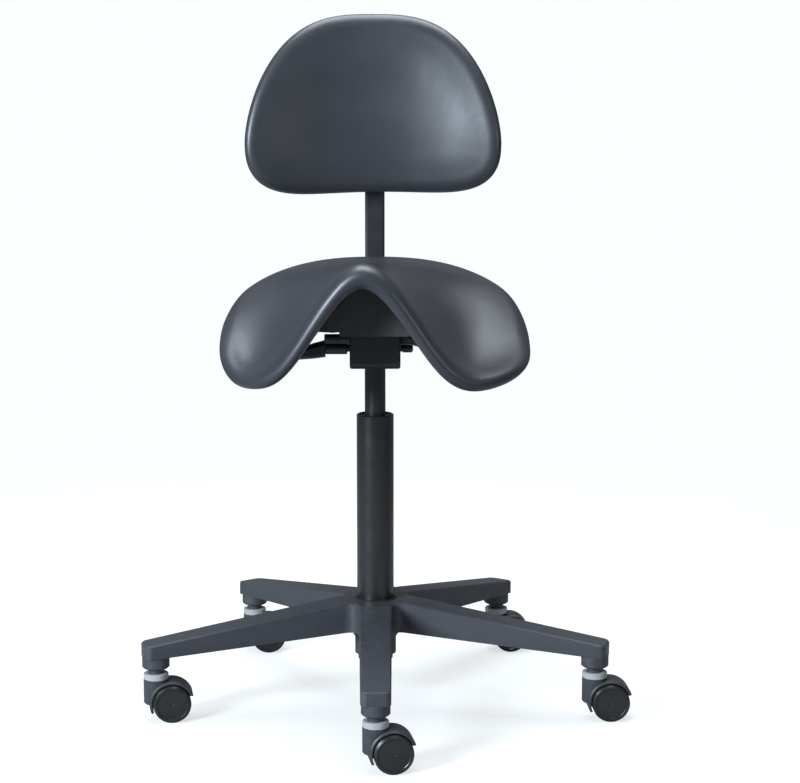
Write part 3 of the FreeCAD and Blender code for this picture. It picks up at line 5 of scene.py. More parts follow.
import bmesh
import bpy
import numpy as np
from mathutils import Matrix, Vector


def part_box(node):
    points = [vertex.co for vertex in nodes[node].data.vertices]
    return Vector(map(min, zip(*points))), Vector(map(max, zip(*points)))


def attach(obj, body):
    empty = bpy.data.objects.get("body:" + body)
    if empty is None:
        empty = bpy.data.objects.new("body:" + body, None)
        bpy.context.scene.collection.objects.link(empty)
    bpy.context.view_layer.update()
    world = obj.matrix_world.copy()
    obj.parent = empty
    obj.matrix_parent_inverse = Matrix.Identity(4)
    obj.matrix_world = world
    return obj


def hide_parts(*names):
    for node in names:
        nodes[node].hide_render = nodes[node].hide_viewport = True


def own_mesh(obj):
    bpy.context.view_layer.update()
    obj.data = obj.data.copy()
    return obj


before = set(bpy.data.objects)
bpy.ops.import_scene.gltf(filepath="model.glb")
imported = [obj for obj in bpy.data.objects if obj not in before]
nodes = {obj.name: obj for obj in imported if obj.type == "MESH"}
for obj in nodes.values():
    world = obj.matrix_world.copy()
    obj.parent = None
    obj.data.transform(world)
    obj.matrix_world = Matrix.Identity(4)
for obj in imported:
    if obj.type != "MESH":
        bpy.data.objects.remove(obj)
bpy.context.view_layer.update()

# Camera: where it stands and looks, measured from the column's axis
CAMERA_AZIMUTH = 0.0
CAMERA_DISTANCE = 2.742
CAMERA_HEIGHT = 0.832
CAMERA_PITCH = 8.42  # degrees down
CAMERA_HEADING = 0.7  # degrees to the right of the column
SENSOR_WIDTH = 36.0
LENS = 92.6
FLOOR_GLOW = 0.67  # light that the floor adds for the camera only, which shadows don't darken


def smooth(share):
    """0 to 1 with level ends."""
    share = np.clip(share, 0.0, 1.0)
    return share * share * (3 - 2 * share)


# ---- materials ----

class Tree:
    """A short way to write a material's node tree."""

    def __init__(self, name):
        self.material = bpy.data.materials.new(name)
        self.material.use_nodes = True
        self.nodes = self.material.node_tree.nodes
        self.links = self.material.node_tree.links
        self.shader = self.nodes["Principled BSDF"]
        self.place = self.nodes.new("ShaderNodeTexCoord").outputs["Object"]

    def set(self, **values):
        for name, value in values.items():
            self.shader.inputs[name.replace("_", " ")].default_value = value
        return self

    def link(self, output, socket):
        self.links.new(output, socket)

    def noise(self, scale, detail=3.0, roughness=0.5, stretch=None):
        node = self.nodes.new("ShaderNodeTexNoise")
        node.inputs["Scale"].default_value = scale
        node.inputs["Detail"].default_value = detail
        node.inputs["Roughness"].default_value = roughness
        self.link(self.mapped(stretch), node.inputs["Vector"])
        return node.outputs["Fac"]

    def cells(self, scale):
        """Distance from the middle of soft-edged cells."""
        node = self.nodes.new("ShaderNodeTexVoronoi")
        node.feature = "SMOOTH_F1"
        node.inputs["Scale"].default_value = scale
        self.link(self.place, node.inputs["Vector"])
        return node.outputs["Distance"]

    def mapped(self, stretch):
        if stretch is None:
            return self.place
        node = self.nodes.new("ShaderNodeMapping")
        node.inputs["Scale"].default_value = stretch
        self.link(self.place, node.inputs["Vector"])
        return node.outputs["Vector"]

    def spread(self, value, low, high, start=0.35, end=0.65):
        """value from start to end becomes low to high."""
        node = self.nodes.new("ShaderNodeMapRange")
        node.inputs["From Min"].default_value = start
        node.inputs["From Max"].default_value = end
        node.inputs["To Min"].default_value = low
        node.inputs["To Max"].default_value = high
        self.link(value, node.inputs["Value"])
        return node.outputs["Result"]

    def tint(self, value, first, second, start=0.3, end=0.7):
        node = self.nodes.new("ShaderNodeValToRGB")
        ramp = node.color_ramp.elements
        ramp[0].position, ramp[1].position = start, end
        ramp[0].color, ramp[1].color = (*first, 1), (*second, 1)
        self.link(value, node.inputs["Fac"])
        return node.outputs["Color"]

    def blend(self, share, first, second):
        node = self.nodes.new("ShaderNodeMix")
        node.data_type = "RGBA"
        self.link(share, node.inputs["Factor"])
        self.link(first, node.inputs["A"])
        self.link(second, node.inputs["B"])
        return node.outputs["Result"]

    def worn_edges(self):
        """Near 1 on convex edges, broken up by a noise."""
        geometry = self.nodes.new("ShaderNodeNewGeometry")
        edge = self.spread(geometry.outputs["Pointiness"], 0.0, 1.0, 0.52, 0.6)
        node = self.nodes.new("ShaderNodeMath")
        node.operation = "MULTIPLY"
        self.link(edge, node.inputs[0])
        self.link(self.spread(self.noise(90.0, 4.0), 0.2, 1.0), node.inputs[1])
        return node.outputs["Value"]

    def bumps(self, *layers):
        """Layers of (height, strength, distance in metres), laid one over the other."""
        normal = None
        for height, strength, distance in layers:
            node = self.nodes.new("ShaderNodeBump")
            node.inputs["Strength"].default_value = strength
            node.inputs["Distance"].default_value = distance
            self.link(height, node.inputs["Height"])
            if normal is not None:
                self.link(normal, node.inputs["Normal"])
            normal = node.outputs["Normal"]
        self.link(normal, self.shader.inputs["Normal"])
        return self

    def colour(self, output):
        self.link(output, self.shader.inputs["Base Color"])
        return self

    def roughness(self, output):
        self.link(output, self.shader.inputs["Roughness"])
        return self


def moulded_skin():
    """Integral skin of moulded foam: fine pebble grain, a soft satin, faint unevenness."""
    tree = Tree("moulded_skin").set(Coat_Weight=0.12, Coat_Roughness=0.32, Specular_IOR_Level=0.5)
    tree.colour(tree.tint(tree.noise(9.0, 3.0), (0.024, 0.0255, 0.031), (0.030, 0.032, 0.038)))
    tree.roughness(tree.spread(tree.noise(14.0, 4.0), 0.38, 0.46))
    grain = tree.cells(1500.0)
    return tree.bumps((tree.noise(26.0, 2.0), 0.35, 0.0012), (grain, 0.16, 0.0002),
                      (tree.noise(5200.0, 2.0), 0.1, 0.00008)).material


WEAR_SHARE = 0.14  # of the rubbed colour at the most worn edges


def moulded_plastic(name, dark, light, rough=(0.42, 0.55), wear=(0.16, 0.165, 0.175)):
    """Spark-eroded moulding grain, with lighter rubbed edges."""
    tree = Tree(name).set(Specular_IOR_Level=0.5)
    body = tree.tint(tree.noise(28.0, 3.0), dark, light, 0.2, 0.8)
    rub = tree.nodes.new("ShaderNodeRGB")
    rub.outputs[0].default_value = (*wear, 1)
    tree.colour(tree.blend(tree.spread(tree.worn_edges(), 0.0, WEAR_SHARE, 0.0, 1.0), body, rub.outputs[0]))
    tree.roughness(tree.spread(tree.noise(60.0, 3.0), *rough))
    grain = tree.noise(2600.0, 3.0, 0.6)
    return tree.bumps((grain, 0.25, 0.00012)).material


def powder_coat(name, dark, light, rough=(0.30, 0.42), orange_peel=0.3):
    """Semi-gloss coating on steel, with a fine orange peel."""
    tree = Tree(name).set(Coat_Weight=0.25, Coat_Roughness=0.2)
    tree.colour(tree.tint(tree.noise(20.0, 3.0), dark, light))
    tree.roughness(tree.spread(tree.noise(30.0, 4.0), *rough))
    return tree.bumps((tree.noise(700.0, 2.0), orange_peel, 0.00012),
                      (tree.noise(60.0, 2.0), 0.15, 0.0003)).material


def brushed_metal(name, dark, light, stretch):
    tree = Tree(name).set(Metallic=1.0)
    tree.colour(tree.tint(tree.noise(60.0, 4.0, stretch=stretch), dark, light))
    tree.roughness(tree.spread(tree.noise(900.0, 3.0, stretch=stretch), 0.22, 0.38))
    return tree.bumps((tree.noise(1800.0, 2.0, stretch=stretch), 0.15, 0.00005)).material


def wheel_plastic():
    """Hard nylon of the wheels: dark, a little glossy, with fine turning marks."""
    tree = Tree("wheel_nylon").set(Coat_Weight=0.3, Coat_Roughness=0.16)
    tree.colour(tree.tint(tree.noise(60.0, 4.0), (0.009, 0.008, 0.008), (0.014, 0.013, 0.013)))
    tree.roughness(tree.spread(tree.noise(90.0, 5.0), 0.24, 0.34))
    return tree.bumps((tree.noise(800.0, 3.0), 0.12, 0.0001)).material


def soft_rubber():
    tree = Tree("soft_rubber").set(Specular_IOR_Level=0.35)
    tree.colour(tree.tint(tree.noise(30.0, 4.0), (0.018, 0.018, 0.019), (0.030, 0.030, 0.031)))
    tree.roughness(tree.spread(tree.noise(70.0, 3.0), 0.6, 0.78))
    return tree.bumps((tree.noise(2200.0, 3.0), 0.3, 0.00012)).material


looks = {
    "skin": moulded_skin(),
    "base": moulded_plastic("base_nylon", (0.038, 0.039, 0.046), (0.041, 0.042, 0.050), (0.44, 0.50)),
    "hood": moulded_plastic("hood_plastic", (0.026, 0.027, 0.032), (0.031, 0.032, 0.038), (0.38, 0.46)),
    "grip": moulded_plastic("grip_plastic", (0.014, 0.014, 0.016), (0.022, 0.022, 0.024), (0.34, 0.46)),
    "pan": moulded_plastic("pan_plastic", (0.040, 0.035, 0.034), (0.043, 0.038, 0.037), (0.58, 0.66)),
    "collar": moulded_plastic("collar_plastic", (0.34, 0.335, 0.335), (0.38, 0.375, 0.375), (0.42, 0.55),
                              (0.55, 0.55, 0.56)),
    "tube": powder_coat("tube_coat", (0.011, 0.0095, 0.0095), (0.016, 0.0145, 0.0145), (0.24, 0.34)),
    "cylinder": powder_coat("cylinder_coat", (0.016, 0.016, 0.019), (0.024, 0.024, 0.028), (0.28, 0.38),
                            0.15),
    "housing": powder_coat("housing_coat", (0.012, 0.012, 0.013), (0.018, 0.018, 0.019), (0.36, 0.5)),
    "bar": powder_coat("bar_coat", (0.020, 0.021, 0.025), (0.028, 0.029, 0.034), (0.32, 0.45)),
    "steel": brushed_metal("turned_steel", (0.42, 0.42, 0.43), (0.56, 0.56, 0.57), (1, 1, 12)),
    "dark_steel": powder_coat("blacked_steel", (0.012, 0.012, 0.013), (0.02, 0.02, 0.021), (0.3, 0.42), 0.1),
    "wheel": wheel_plastic(),
    "rubber": soft_rubber(),
}

dressed = {
    "base": ["star_base"],
    "tube": ["column_tube"],
    "cylinder": ["gas_cylinder"],
    "housing": ["mech_housing", "seat_plate", "bar_clamp", "taper_socket", "back_plate"],
    "bar": ["back_bar"],
    "dark_steel": ["height_lever", "lock_shaft", "lock_washers", "tilt_axle", "axle_rings", "seat_screws"],
    "grip": ["lever_grip", "rod_cap", "tilt_paddle", "tension_knob", "back_carrier", "clamp_knob",
             "guide_bush", "axle_bushes"],
    "pan": ["seat_pan"],
    "rubber": ["bump_stop"],
    "hood": [name for name in nodes if name.endswith("_hood")],
    "collar": [name for name in nodes if name.endswith("_collar")],
    "wheel": [name for name in nodes if "_wheel_" in name],
}
plain_steel = set(nodes) - {name for names in dressed.values() for name in names}
dressed["steel"] = sorted(plain_steel - {"seat_cushion", "backrest_cushion"})


def dress(obj, look):
    obj.data.materials.clear()
    obj.data.materials.append(looks[look])


CAD_CREASE = 32.0  # degrees between faces, from which an edge stays hard
PIECE_CREASE = 40.0


def shade(obj, angle):
    """Smooth shading with hard edges kept where faces meet at more than an angle."""
    mesh = obj.data
    mesh.polygons.foreach_set("use_smooth", [True] * len(mesh.polygons))
    mesh.set_sharp_from_angle(angle=math.radians(angle))


for look, names in dressed.items():
    for name in names:
        dress(nodes[name], look)
        shade(nodes[name], CAD_CREASE)


# ---- moulded cushions ----

def add_object(name, mesh):
    obj = bpy.data.objects.new(name, mesh)
    bpy.context.scene.collection.objects.link(obj)
    return obj


def closed_object(name, points, faces):
    """A closed mesh with its faces turned outwards."""
    mesh = bpy.data.meshes.new(name)
    mesh.from_pydata(points, [], faces)
    mesh.polygons.foreach_set("use_smooth", [True] * len(mesh.polygons))
    work = bmesh.new()
    work.from_mesh(mesh)
    bmesh.ops.recalc_face_normals(work, faces=work.faces)
    work.to_mesh(mesh)
    work.free()
    return add_object(name, mesh)


def skin_mesh(name, rings):
    """A closed skin through rings of equally many points, with a fan at both ends."""
    count = len(rings[0])
    points = list(map(tuple, np.concatenate(rings)))
    faces = []
    for row in range(len(rings) - 1):
        first, second = row * count, (row + 1) * count
        for k in range(count):
            after = (k + 1) % count
            faces.append((first + k, first + after, second + after, second + k))
    for row, first_ring in ((0, True), (len(rings) - 1, False)):
        centre = len(points)
        points.append(tuple(np.mean(rings[row], axis=0)))
        for k in range(count):
            a, b = row * count + k, row * count + (k + 1) % count
            faces.append((b, a, centre) if first_ring else (a, b, centre))
    return closed_object(name, points, faces)


def even_loop(points, count):
    """A closed curve cut into equally long steps."""
    closed = np.vstack([points, points[:1]])
    length = np.concatenate([[0], np.cumsum(np.linalg.norm(np.diff(closed, axis=0), axis=1))])
    steps = np.linspace(0, length[-1], count, endpoint=False)
    return np.stack([np.interp(steps, length, closed[:, axis]) for axis in (0, 1)], axis=1)


def inward(loop):
    """Unit normals of a closed curve, towards its inside."""
    ahead = np.roll(loop, -2, axis=0) - np.roll(loop, 2, axis=0)
    normal = np.stack([-ahead[:, 1], ahead[:, 0]], axis=1)
    normal /= np.linalg.norm(normal, axis=1, keepdims=True)
    side = np.sum(normal * (loop.mean(axis=0) - loop), axis=1).mean()
    return normal * np.sign(side)


def edge_distance(points, loop):
    """Distance from each point to a closed curve."""
    first, step = loop, np.roll(loop, -1, axis=0) - loop
    gap = points[:, None, :] - first[None, :, :]
    share = np.clip(np.sum(gap * step, axis=2) / np.sum(step * step, axis=1), 0, 1)
    return np.min(np.linalg.norm(gap - share[..., None] * step, axis=2), axis=1)


def roll_depth(distance, reach, depth, power=2.3):
    """How far the skin has turned away at a distance from its edge."""
    share = np.clip(1 - distance / reach, 0, 1)
    return depth * (1 - np.clip(1 - share ** power, 0, 1) ** (1 / power))


def padded_skin(name, loop, centre, place, front_reach, back_reach, rows):
    """A skin over a closed outline: place(points, distance, front) gives the 3D points of a side."""
    normal = inward(loop)
    near = 0.5 - 0.5 * np.cos(np.linspace(0, np.pi / 2, 13))
    rings = []

    def flat_rings(reach):
        edge = loop + normal * reach[:, None]
        return [centre + (edge - centre) * share for share in np.linspace(0.02, 1, rows) ** 0.85]

    for points in flat_rings(front_reach):
        rings.append(place(points, edge_distance(points, loop), True))
    for share in near[::-1][1:] * 2:
        points = loop + normal * (front_reach * share)[:, None]
        rings.append(place(points, front_reach * share, True))
    for share in near[1:] * 2:
        points = loop + normal * (back_reach * share)[:, None]
        rings.append(place(points, back_reach * share, False))
    for points in flat_rings(back_reach)[::-1][1:]:
        rings.append(place(points, edge_distance(points, loop), False))
    return skin_mesh(name, rings)


seat_low, seat_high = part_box("seat_cushion")
SEAT_FRONT, SEAT_REAR = seat_low.y, seat_high.y
SEAT_HALF = 0.207
SEAT_WIDEST = -0.008
SEAT_TOP = 0.6225
SEAT_FRONT_POWER = 2.35
SEAT_REAR_POWER = 2.2
DIP = 0.036  # of the saddle's middle under its pommel
DIP_Y = 0.040
REAR_RISE = 0.010
RIM_FRONT = 0.126  # of the side rim under the pommel, at the front
RIM_REAR = 0.024
RIM_POWER = 1.9
CROSS_POWER = 2.4
LOBE_DROP = 0.136  # from the pommel to the trough of a lobe
LOBE_REACH = 0.150
RIGHT_RIM = 0.62  # how fast the right lobe rises past its trough, beside the left one
POMMEL_SHIFT = 0.0155  # of the pommel to the left of the middle
FORM_START, FORM_END = 0.090, -0.165  # where the front form fades in
LIP = 0.0265  # thickness of the front lip
POMMEL_LIP = 0.034  # and at the pommel
POMMEL_HALF = 0.075
SIDE_EDGE = 0.021
SIDE_ROLL = 0.020  # reach of the rolled rim in plan
LIP_ROLL = 0.018  # what the front lip adds to it
SEAT_UNDER_REACH = 0.012
MIDDLE = 0.015  # thickness of the seat's middle
SEAT_POINTS = 300  # round the outline
SEAT_ROWS = 46


def seat_half_width(y):
    ahead = np.clip((SEAT_WIDEST - y) / (SEAT_WIDEST - SEAT_FRONT), 0, 0.9999)
    behind = np.clip((y - SEAT_WIDEST) / (SEAT_REAR - SEAT_WIDEST), 0, 0.9999)
    front = (1 - ahead ** SEAT_FRONT_POWER) ** (1 / SEAT_FRONT_POWER)
    rear = (1 - behind ** SEAT_REAR_POWER) ** (1 / SEAT_REAR_POWER)
    return np.maximum(SEAT_HALF * np.minimum(front, rear), 0.004)


def front_share(y):
    return smooth((FORM_START - y) / (FORM_START - FORM_END))


def seat_surface(x, y):
    """Height of the saddle's top face at x, y."""
    behind = np.clip((y - DIP_Y) / (SEAT_REAR - DIP_Y), 0, None)
    ahead = np.clip((DIP_Y - y) / (DIP_Y - SEAT_FRONT), 0, None)
    crest = SEAT_TOP - DIP + REAR_RISE * behind ** 2 + DIP * ahead ** 2
    along = np.clip((y - SEAT_FRONT) / (SEAT_REAR - SEAT_FRONT), 0, 1)
    rim = np.minimum(crest - 0.001, SEAT_TOP - RIM_FRONT + (RIM_FRONT - RIM_REAR) * along ** RIM_POWER)
    rear_form = crest - (crest - rim) * np.clip(np.abs(x) / seat_half_width(y), 0, 1) ** CROSS_POWER
    off = np.abs(x + POMMEL_SHIFT * front_share(y))
    off = np.where((x > 0) & (off > LOBE_REACH), LOBE_REACH + RIGHT_RIM * (off - LOBE_REACH), off)
    front_form = crest - LOBE_DROP * (0.5 - 0.5 * np.cos(np.pi * off / LOBE_REACH))
    return rear_form + (front_form - rear_form) * front_share(y)


def seat_slope(x, y):
    step = 0.001
    across = (seat_surface(x + step, y) - seat_surface(x - step, y)) / (2 * step)
    along = (seat_surface(x, y + step) - seat_surface(x, y - step)) / (2 * step)
    return np.sqrt(1 + across ** 2 + along ** 2)


def lip_share(points):
    """1 along the front lip between the lobes, 0 round their outer sides."""
    return smooth((-points[:, 1] - 0.105) / 0.075) * (1 - smooth((np.abs(points[:, 0]) - 0.115) / 0.07))


def seat_place(points, distance, front):
    x, y = points[:, 0], points[:, 1]
    lip = lip_share(points)
    slope = seat_slope(x, y)
    pommel = 1 - smooth(np.abs(x + POMMEL_SHIFT) / POMMEL_HALF)
    edge = SIDE_EDGE + (LIP + (POMMEL_LIP - LIP) * pommel - SIDE_EDGE) * lip
    over = edge * (0.60 + 0.10 * lip)
    top = seat_surface(x, y) - roll_depth(distance, SIDE_ROLL + LIP_ROLL * lip, 1.0, 2.0) * over * slope
    if front:
        return np.stack([x, y, top], axis=1)
    under = edge - over
    thick = edge + (MIDDLE - edge) * smooth((distance - 0.015) / 0.075)
    base = seat_surface(x, y) - thick * slope
    return np.stack([x, y, base + roll_depth(distance, SEAT_UNDER_REACH, 1.0) * under * slope], axis=1)


def seat_outline():
    turns = np.linspace(0, 2 * np.pi, 1440, endpoint=False)
    side, along = np.cos(turns), np.sin(turns)
    power = np.where(along < 0, SEAT_FRONT_POWER, SEAT_REAR_POWER)
    half = np.where(along < 0, SEAT_WIDEST - SEAT_FRONT, SEAT_REAR - SEAT_WIDEST)
    reach = (np.abs(side) ** power + np.abs(along) ** power) ** (-1 / power)
    outline = np.stack([SEAT_HALF * side * reach, SEAT_WIDEST + half * along * reach], axis=1)
    return even_loop(outline, SEAT_POINTS)


seat_loop = seat_outline()
seat = padded_skin("seat_skin", seat_loop, np.array([0.0, SEAT_WIDEST]), seat_place,
                   SIDE_ROLL + LIP_ROLL * lip_share(seat_loop), np.full(SEAT_POINTS, SEAT_UNDER_REACH),
                   SEAT_ROWS)
dress(seat, "skin")
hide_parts("seat_cushion")
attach(seat, "seat")


back_low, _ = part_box("backrest_cushion")
BACK_BOTTOM, BACK_TOP = 0.6805, 0.9320
BACK_HALF = 0.1765
BACK_WIDEST = 0.757
BACK_SHIFT = -0.0022
BACK_FRONT = back_low.y
BACK_WRAP = 0.046
BACK_LEAN = 0.009
BACK_FRONT_REACH, BACK_FRONT_DEPTH = 0.021, 0.016
BACK_REAR_REACH, BACK_REAR_DEPTH = 0.014, 0.012
BACK_CROWN = 0.005
BACK_MIDDLE = 0.040
BACK_SILL = 0.006
BACK_TURN = 0.012  # slope of the lower edge, down to the left
BACK_POINTS = 280  # round the outline
BACK_ROWS = 40


def back_outline():
    """Flat crown, sloping shoulders, full lower corners and a slightly raised lower edge."""
    share = np.linspace(0, 1, 400)
    up = 1 - share ** 2
    down = 1 - (1 - share) ** 3
    upper = np.stack([BACK_HALF * (1 - up ** 1.6) ** 0.345,
                      BACK_WIDEST + (BACK_TOP - BACK_WIDEST) * up], axis=1)
    half = BACK_HALF * (1 - down ** 2.6) ** 0.21
    low = BACK_WIDEST - (BACK_WIDEST - BACK_BOTTOM) * down
    low += BACK_SILL * down ** 2 * (1 - (half / BACK_HALF) ** 2) ** 2
    right = np.concatenate([upper, np.stack([half, low + BACK_TURN * down ** 2 * half], axis=1)[1:]])
    left = np.concatenate([upper, np.stack([half, low - BACK_TURN * down ** 2 * half], axis=1)[1:]])
    left = left[::-1][1:-1] * np.array([-1, 1])
    return even_loop(np.concatenate([right, left]), BACK_POINTS) + np.array([BACK_SHIFT, 0])


BAR_Y, BAR_Z = 0.206, 0.595  # a point of the back bar's middle line
BAR_LEAN = math.radians(8.0)
BAR_DEPTH = 0.010
BAR_CLEARANCE = 0.0016


def back_surface(x, z):
    """Y of the backrest's front face."""
    lean = BACK_LEAN * smooth((z - BACK_WIDEST) / (BACK_TOP - BACK_WIDEST))
    return BACK_FRONT + BACK_WRAP + lean - BACK_WRAP * ((x - BACK_SHIFT) / BACK_HALF) ** 2


def bar_limit(x, z):
    """How far back the skin may reach, so that it slides clear of the back bar."""
    bar_face = BAR_Y - (z - BAR_Z) * math.tan(BAR_LEAN) - BAR_DEPTH / 2 / math.cos(BAR_LEAN)
    beside = smooth((np.abs(x) - 0.018) / 0.020)
    above = smooth((z - 0.850) / 0.020)
    return bar_face - BAR_CLEARANCE + 0.03 * np.maximum(beside, above)


def back_place(points, distance, front):
    x, z = points[:, 0], points[:, 1]
    face = back_surface(x, z)
    crown = BACK_CROWN * (1 - smooth(distance / 0.075)) ** 2
    slope = np.sqrt(1 + (2 * BACK_WRAP * (x - BACK_SHIFT) / BACK_HALF ** 2) ** 2)
    turned = roll_depth(distance, BACK_FRONT_REACH, BACK_FRONT_DEPTH) * slope
    if front:
        return np.stack([x, face + crown + turned, z], axis=1)
    edge = BACK_FRONT_DEPTH * slope + BACK_CROWN + BACK_REAR_DEPTH * slope
    thick = edge + (BACK_MIDDLE - edge) * smooth((distance - 0.01) / 0.07)
    rear = face + thick - roll_depth(distance, BACK_REAR_REACH, BACK_REAR_DEPTH) * slope
    return np.stack([x, np.minimum(rear, bar_limit(x, z)), z], axis=1)


back = padded_skin("backrest_skin", back_outline(), np.array([BACK_SHIFT, 0.785]), back_place,
                   np.full(BACK_POINTS, BACK_FRONT_REACH), np.full(BACK_POINTS, BACK_REAR_REACH), BACK_ROWS)
dress(back, "skin")
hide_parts("backrest_cushion")
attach(back, "backrest")


# ---- small pieces ----

def turned(name, profile, place, axis, count=72):
    """A closed ring or sleeve turned from a profile of (radius, along) points."""
    turns = np.linspace(0, 2 * np.pi, count, endpoint=False)
    points, faces = [], []
    for radius, along in profile:
        for turn in turns:
            across = (radius * math.cos(turn), radius * math.sin(turn))
            points.append((along, *across) if axis == "x" else (*across, along))
    rows = len(profile)
    for row in range(rows):
        for k in range(count):
            after, below = (k + 1) % count, (row + 1) % rows
            faces.append((row * count + k, row * count + after, below * count + after, below * count + k))
    obj = closed_object(name, [tuple(Vector(point) + Vector(place)) for point in points], faces)
    shade(obj, PIECE_CREASE)
    return obj


hub_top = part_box("star_base")[1].z
tube_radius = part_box("column_tube")[1].x
# painted shadow: a thin black ring on the hub round the tube stands in for the dark gap at the tube's foot
hub_shadow = turned("hub_shadow_ring", [(tube_radius + 0.0002, 0.0002), (tube_radius + 0.0034, 0.0002),
                            (tube_radius + 0.0030, 0.0008), (tube_radius + 0.0002, 0.0010)],
              (0, 0, hub_top), "z")
dress(hub_shadow, "rubber")
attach(hub_shadow, "base")

_, grip_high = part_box("lever_grip")
housing_low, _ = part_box("mech_housing")
ROD_Y, ROD_Z = -0.026, 0.488  # axis of the height lever's rod
SLEEVE_BORE = 0.0046
SLEEVE_RADIUS = 0.0078
SLEEVE_EDGE = 0.0008
sleeve_start, sleeve_end = housing_low.x - 0.0035, grip_high.x + 0.0002
sleeve = turned("lever_sleeve", [(SLEEVE_BORE, sleeve_start), (SLEEVE_RADIUS - SLEEVE_EDGE, sleeve_start),
                                 (SLEEVE_RADIUS, sleeve_start - SLEEVE_EDGE),
                                 (SLEEVE_RADIUS, sleeve_end + SLEEVE_EDGE),
                                 (SLEEVE_RADIUS - SLEEVE_EDGE, sleeve_end), (SLEEVE_BORE, sleeve_end)],
                (0, ROD_Y, ROD_Z), "x")
dress(sleeve, "grip")
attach(sleeve, "height_lever")


def plain_lip(name, low, high, edge):
    """A flat strip between two corners, with rounded edges."""
    mesh = bpy.data.meshes.new(name)
    block = bmesh.new()
    bmesh.ops.create_cube(block, size=1.0)
    for corner in block.verts:
        corner.co = Vector(low[k] + (corner.co[k] + 0.5) * (high[k] - low[k]) for k in range(3))
    bmesh.ops.bevel(block, geom=block.edges[:], offset=edge, segments=3, affect="EDGES")
    block.to_mesh(mesh)
    block.free()
    obj = add_object(name, mesh)
    shade(obj, PIECE_CREASE)
    return obj


# The lip isn't read from the photograph: it hides the daylight between pan and housing
SHADE_STRIP_HALF_WIDTH = 0.046
SHADE_STRIP_DEPTH = 0.0060
pan_low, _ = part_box("seat_pan")
# painted shade: this dark strip stands where the gap between pan and housing shows only shade
pan_gap_shade_strip = plain_lip("pan_gap_shade_strip", (-SHADE_STRIP_HALF_WIDTH, pan_low.y + 0.0015, pan_low.z - SHADE_STRIP_DEPTH),
                    (SHADE_STRIP_HALF_WIDTH, pan_low.y + 0.0045, pan_low.z + 0.0010), 0.0012)
dress(pan_gap_shade_strip, "pan")
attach(pan_gap_shade_strip, "seat")

spring = add_object("return_spring_skin", bpy.data.objects["return_spring"].data.copy())
dress(spring, "steel")
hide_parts("return_spring")
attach(spring, "lift")
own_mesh(spring)


# ---- studio ----

def floor():
    """A pale floor that fades into the backdrop with distance."""
    mesh = bpy.data.meshes.new("studio_floor")
    reach = 6.0
    mesh.from_pydata([(-reach, -reach, 0), (reach, -reach, 0), (reach, reach, 0), (-reach, reach, 0)], [],
                     [(0, 1, 2, 3)])
    obj = add_object("studio_floor", mesh)
    tree = Tree("studio_floor").set(Roughness=0.9, Specular_IOR_Level=0.1,
                                    Emission_Color=(0.965, 0.99, 0.99, 1))
    path = tree.nodes.new("ShaderNodeLightPath")
    seen = path.outputs["Is Camera Ray"]
    tree.link(tree.spread(seen, 0.0, FLOOR_GLOW, 0.0, 1.0), tree.shader.inputs["Emission Strength"])
    pale = tree.nodes.new("ShaderNodeRGB")
    pale.outputs[0].default_value = (0.34, 0.345, 0.35, 1)
    shaded = tree.nodes.new("ShaderNodeRGB")
    shaded.outputs[0].default_value = (0.30, 0.31, 0.32, 1)
    tree.colour(tree.blend(seen, shaded.outputs[0], pale.outputs[0]))
    length = tree.nodes.new("ShaderNodeVectorMath")
    length.operation = "LENGTH"
    tree.link(tree.place, length.inputs[0])
    fade = tree.spread(length.outputs["Value"], 0.0, 1.0, 0.9, 2.2)
    clear = tree.nodes.new("ShaderNodeBsdfTransparent")
    mix = tree.nodes.new("ShaderNodeMixShader")
    tree.link(fade, mix.inputs["Fac"])
    tree.link(tree.shader.outputs[0], mix.inputs[1])
    tree.link(clear.outputs[0], mix.inputs[2])
    tree.link(mix.outputs[0], tree.nodes["Material Output"].inputs["Surface"])
    obj.data.materials.append(tree.material)


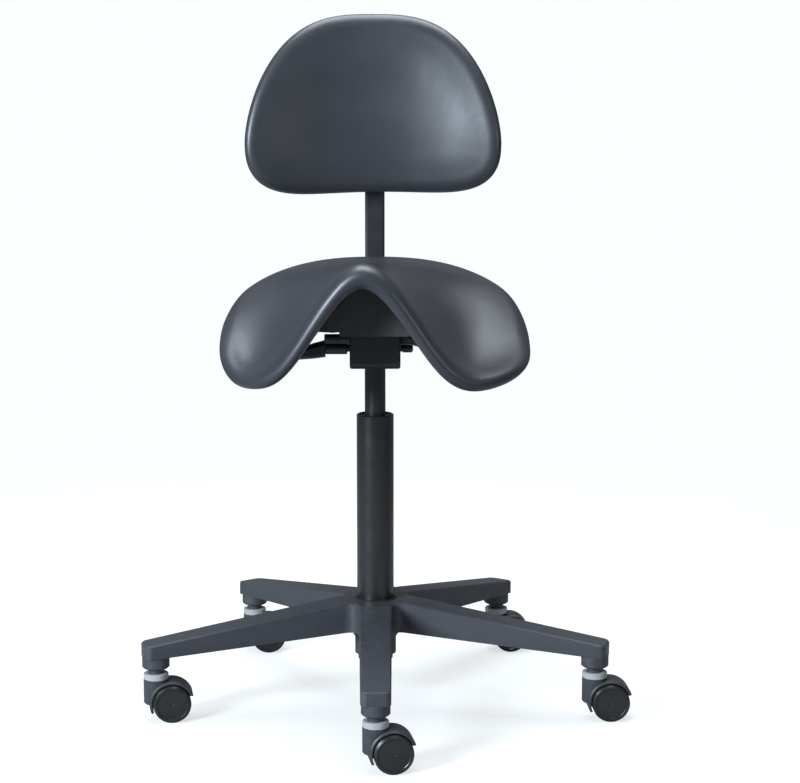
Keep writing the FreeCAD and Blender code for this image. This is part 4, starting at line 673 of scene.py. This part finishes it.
def backdrop():
    """White for the camera, and a dim even light for everything else."""
    world = bpy.data.worlds.new("studio")
    world.use_nodes = True
    bpy.context.scene.world = world
    tree = world.node_tree
    seen = tree.nodes["Background"]
    seen.inputs["Color"].default_value = (0.975, 1.0, 1.0, 1)
    lit = tree.nodes.new("ShaderNodeBackground")
    lit.inputs["Color"].default_value = (0.86, 0.92, 1.0, 1)
    lit.inputs["Strength"].default_value = 0.17
    path = tree.nodes.new("ShaderNodeLightPath")
    mix = tree.nodes.new("ShaderNodeMixShader")
    tree.links.new(path.outputs["Is Camera Ray"], mix.inputs["Fac"])
    tree.links.new(lit.outputs[0], mix.inputs[1])
    tree.links.new(seen.outputs[0], mix.inputs[2])
    tree.links.new(mix.outputs[0], tree.nodes["World Output"].inputs["Surface"])


def softbox(name, place, target, width, height, watts, colour):
    light = bpy.data.lights.new(name, "AREA")
    light.shape = "RECTANGLE"
    light.size, light.size_y = width, height
    light.energy = watts
    light.color = colour
    obj = bpy.data.objects.new(name, light)
    obj.location = place
    obj.rotation_euler = (Vector(target) - Vector(place)).to_track_quat("-Z", "Y").to_euler()
    obj.visible_camera = False
    bpy.context.scene.collection.objects.link(obj)


def camera():
    azimuth = math.radians(CAMERA_AZIMUTH)
    data = bpy.data.cameras.new("camera")
    data.sensor_width = SENSOR_WIDTH
    data.lens = LENS
    obj = bpy.data.objects.new("camera", data)
    obj.location = (CAMERA_DISTANCE * math.sin(azimuth), -CAMERA_DISTANCE * math.cos(azimuth), CAMERA_HEIGHT)
    obj.rotation_euler = (math.radians(90 - CAMERA_PITCH), 0, azimuth - math.radians(CAMERA_HEADING))
    bpy.context.scene.collection.objects.link(obj)
    bpy.context.scene.camera = obj


floor()
backdrop()
camera()
softbox("key", (-2.3, -2.3, 1.45), (0, 0, 0.7), 0.8, 1.3, 200, (0.78, 0.89, 1.0))
softbox("top", (0.1, 0.4, 2.9), (0, 0, 0), 2.0, 2.0, 100, (0.88, 0.95, 1.0))
softbox("right", (2.1, -1.7, 1.1), (0, 0, 0.7), 0.2, 0.5, 8, (1.0, 0.96, 0.95))
bpy.context.scene.view_settings.view_transform = "Standard"
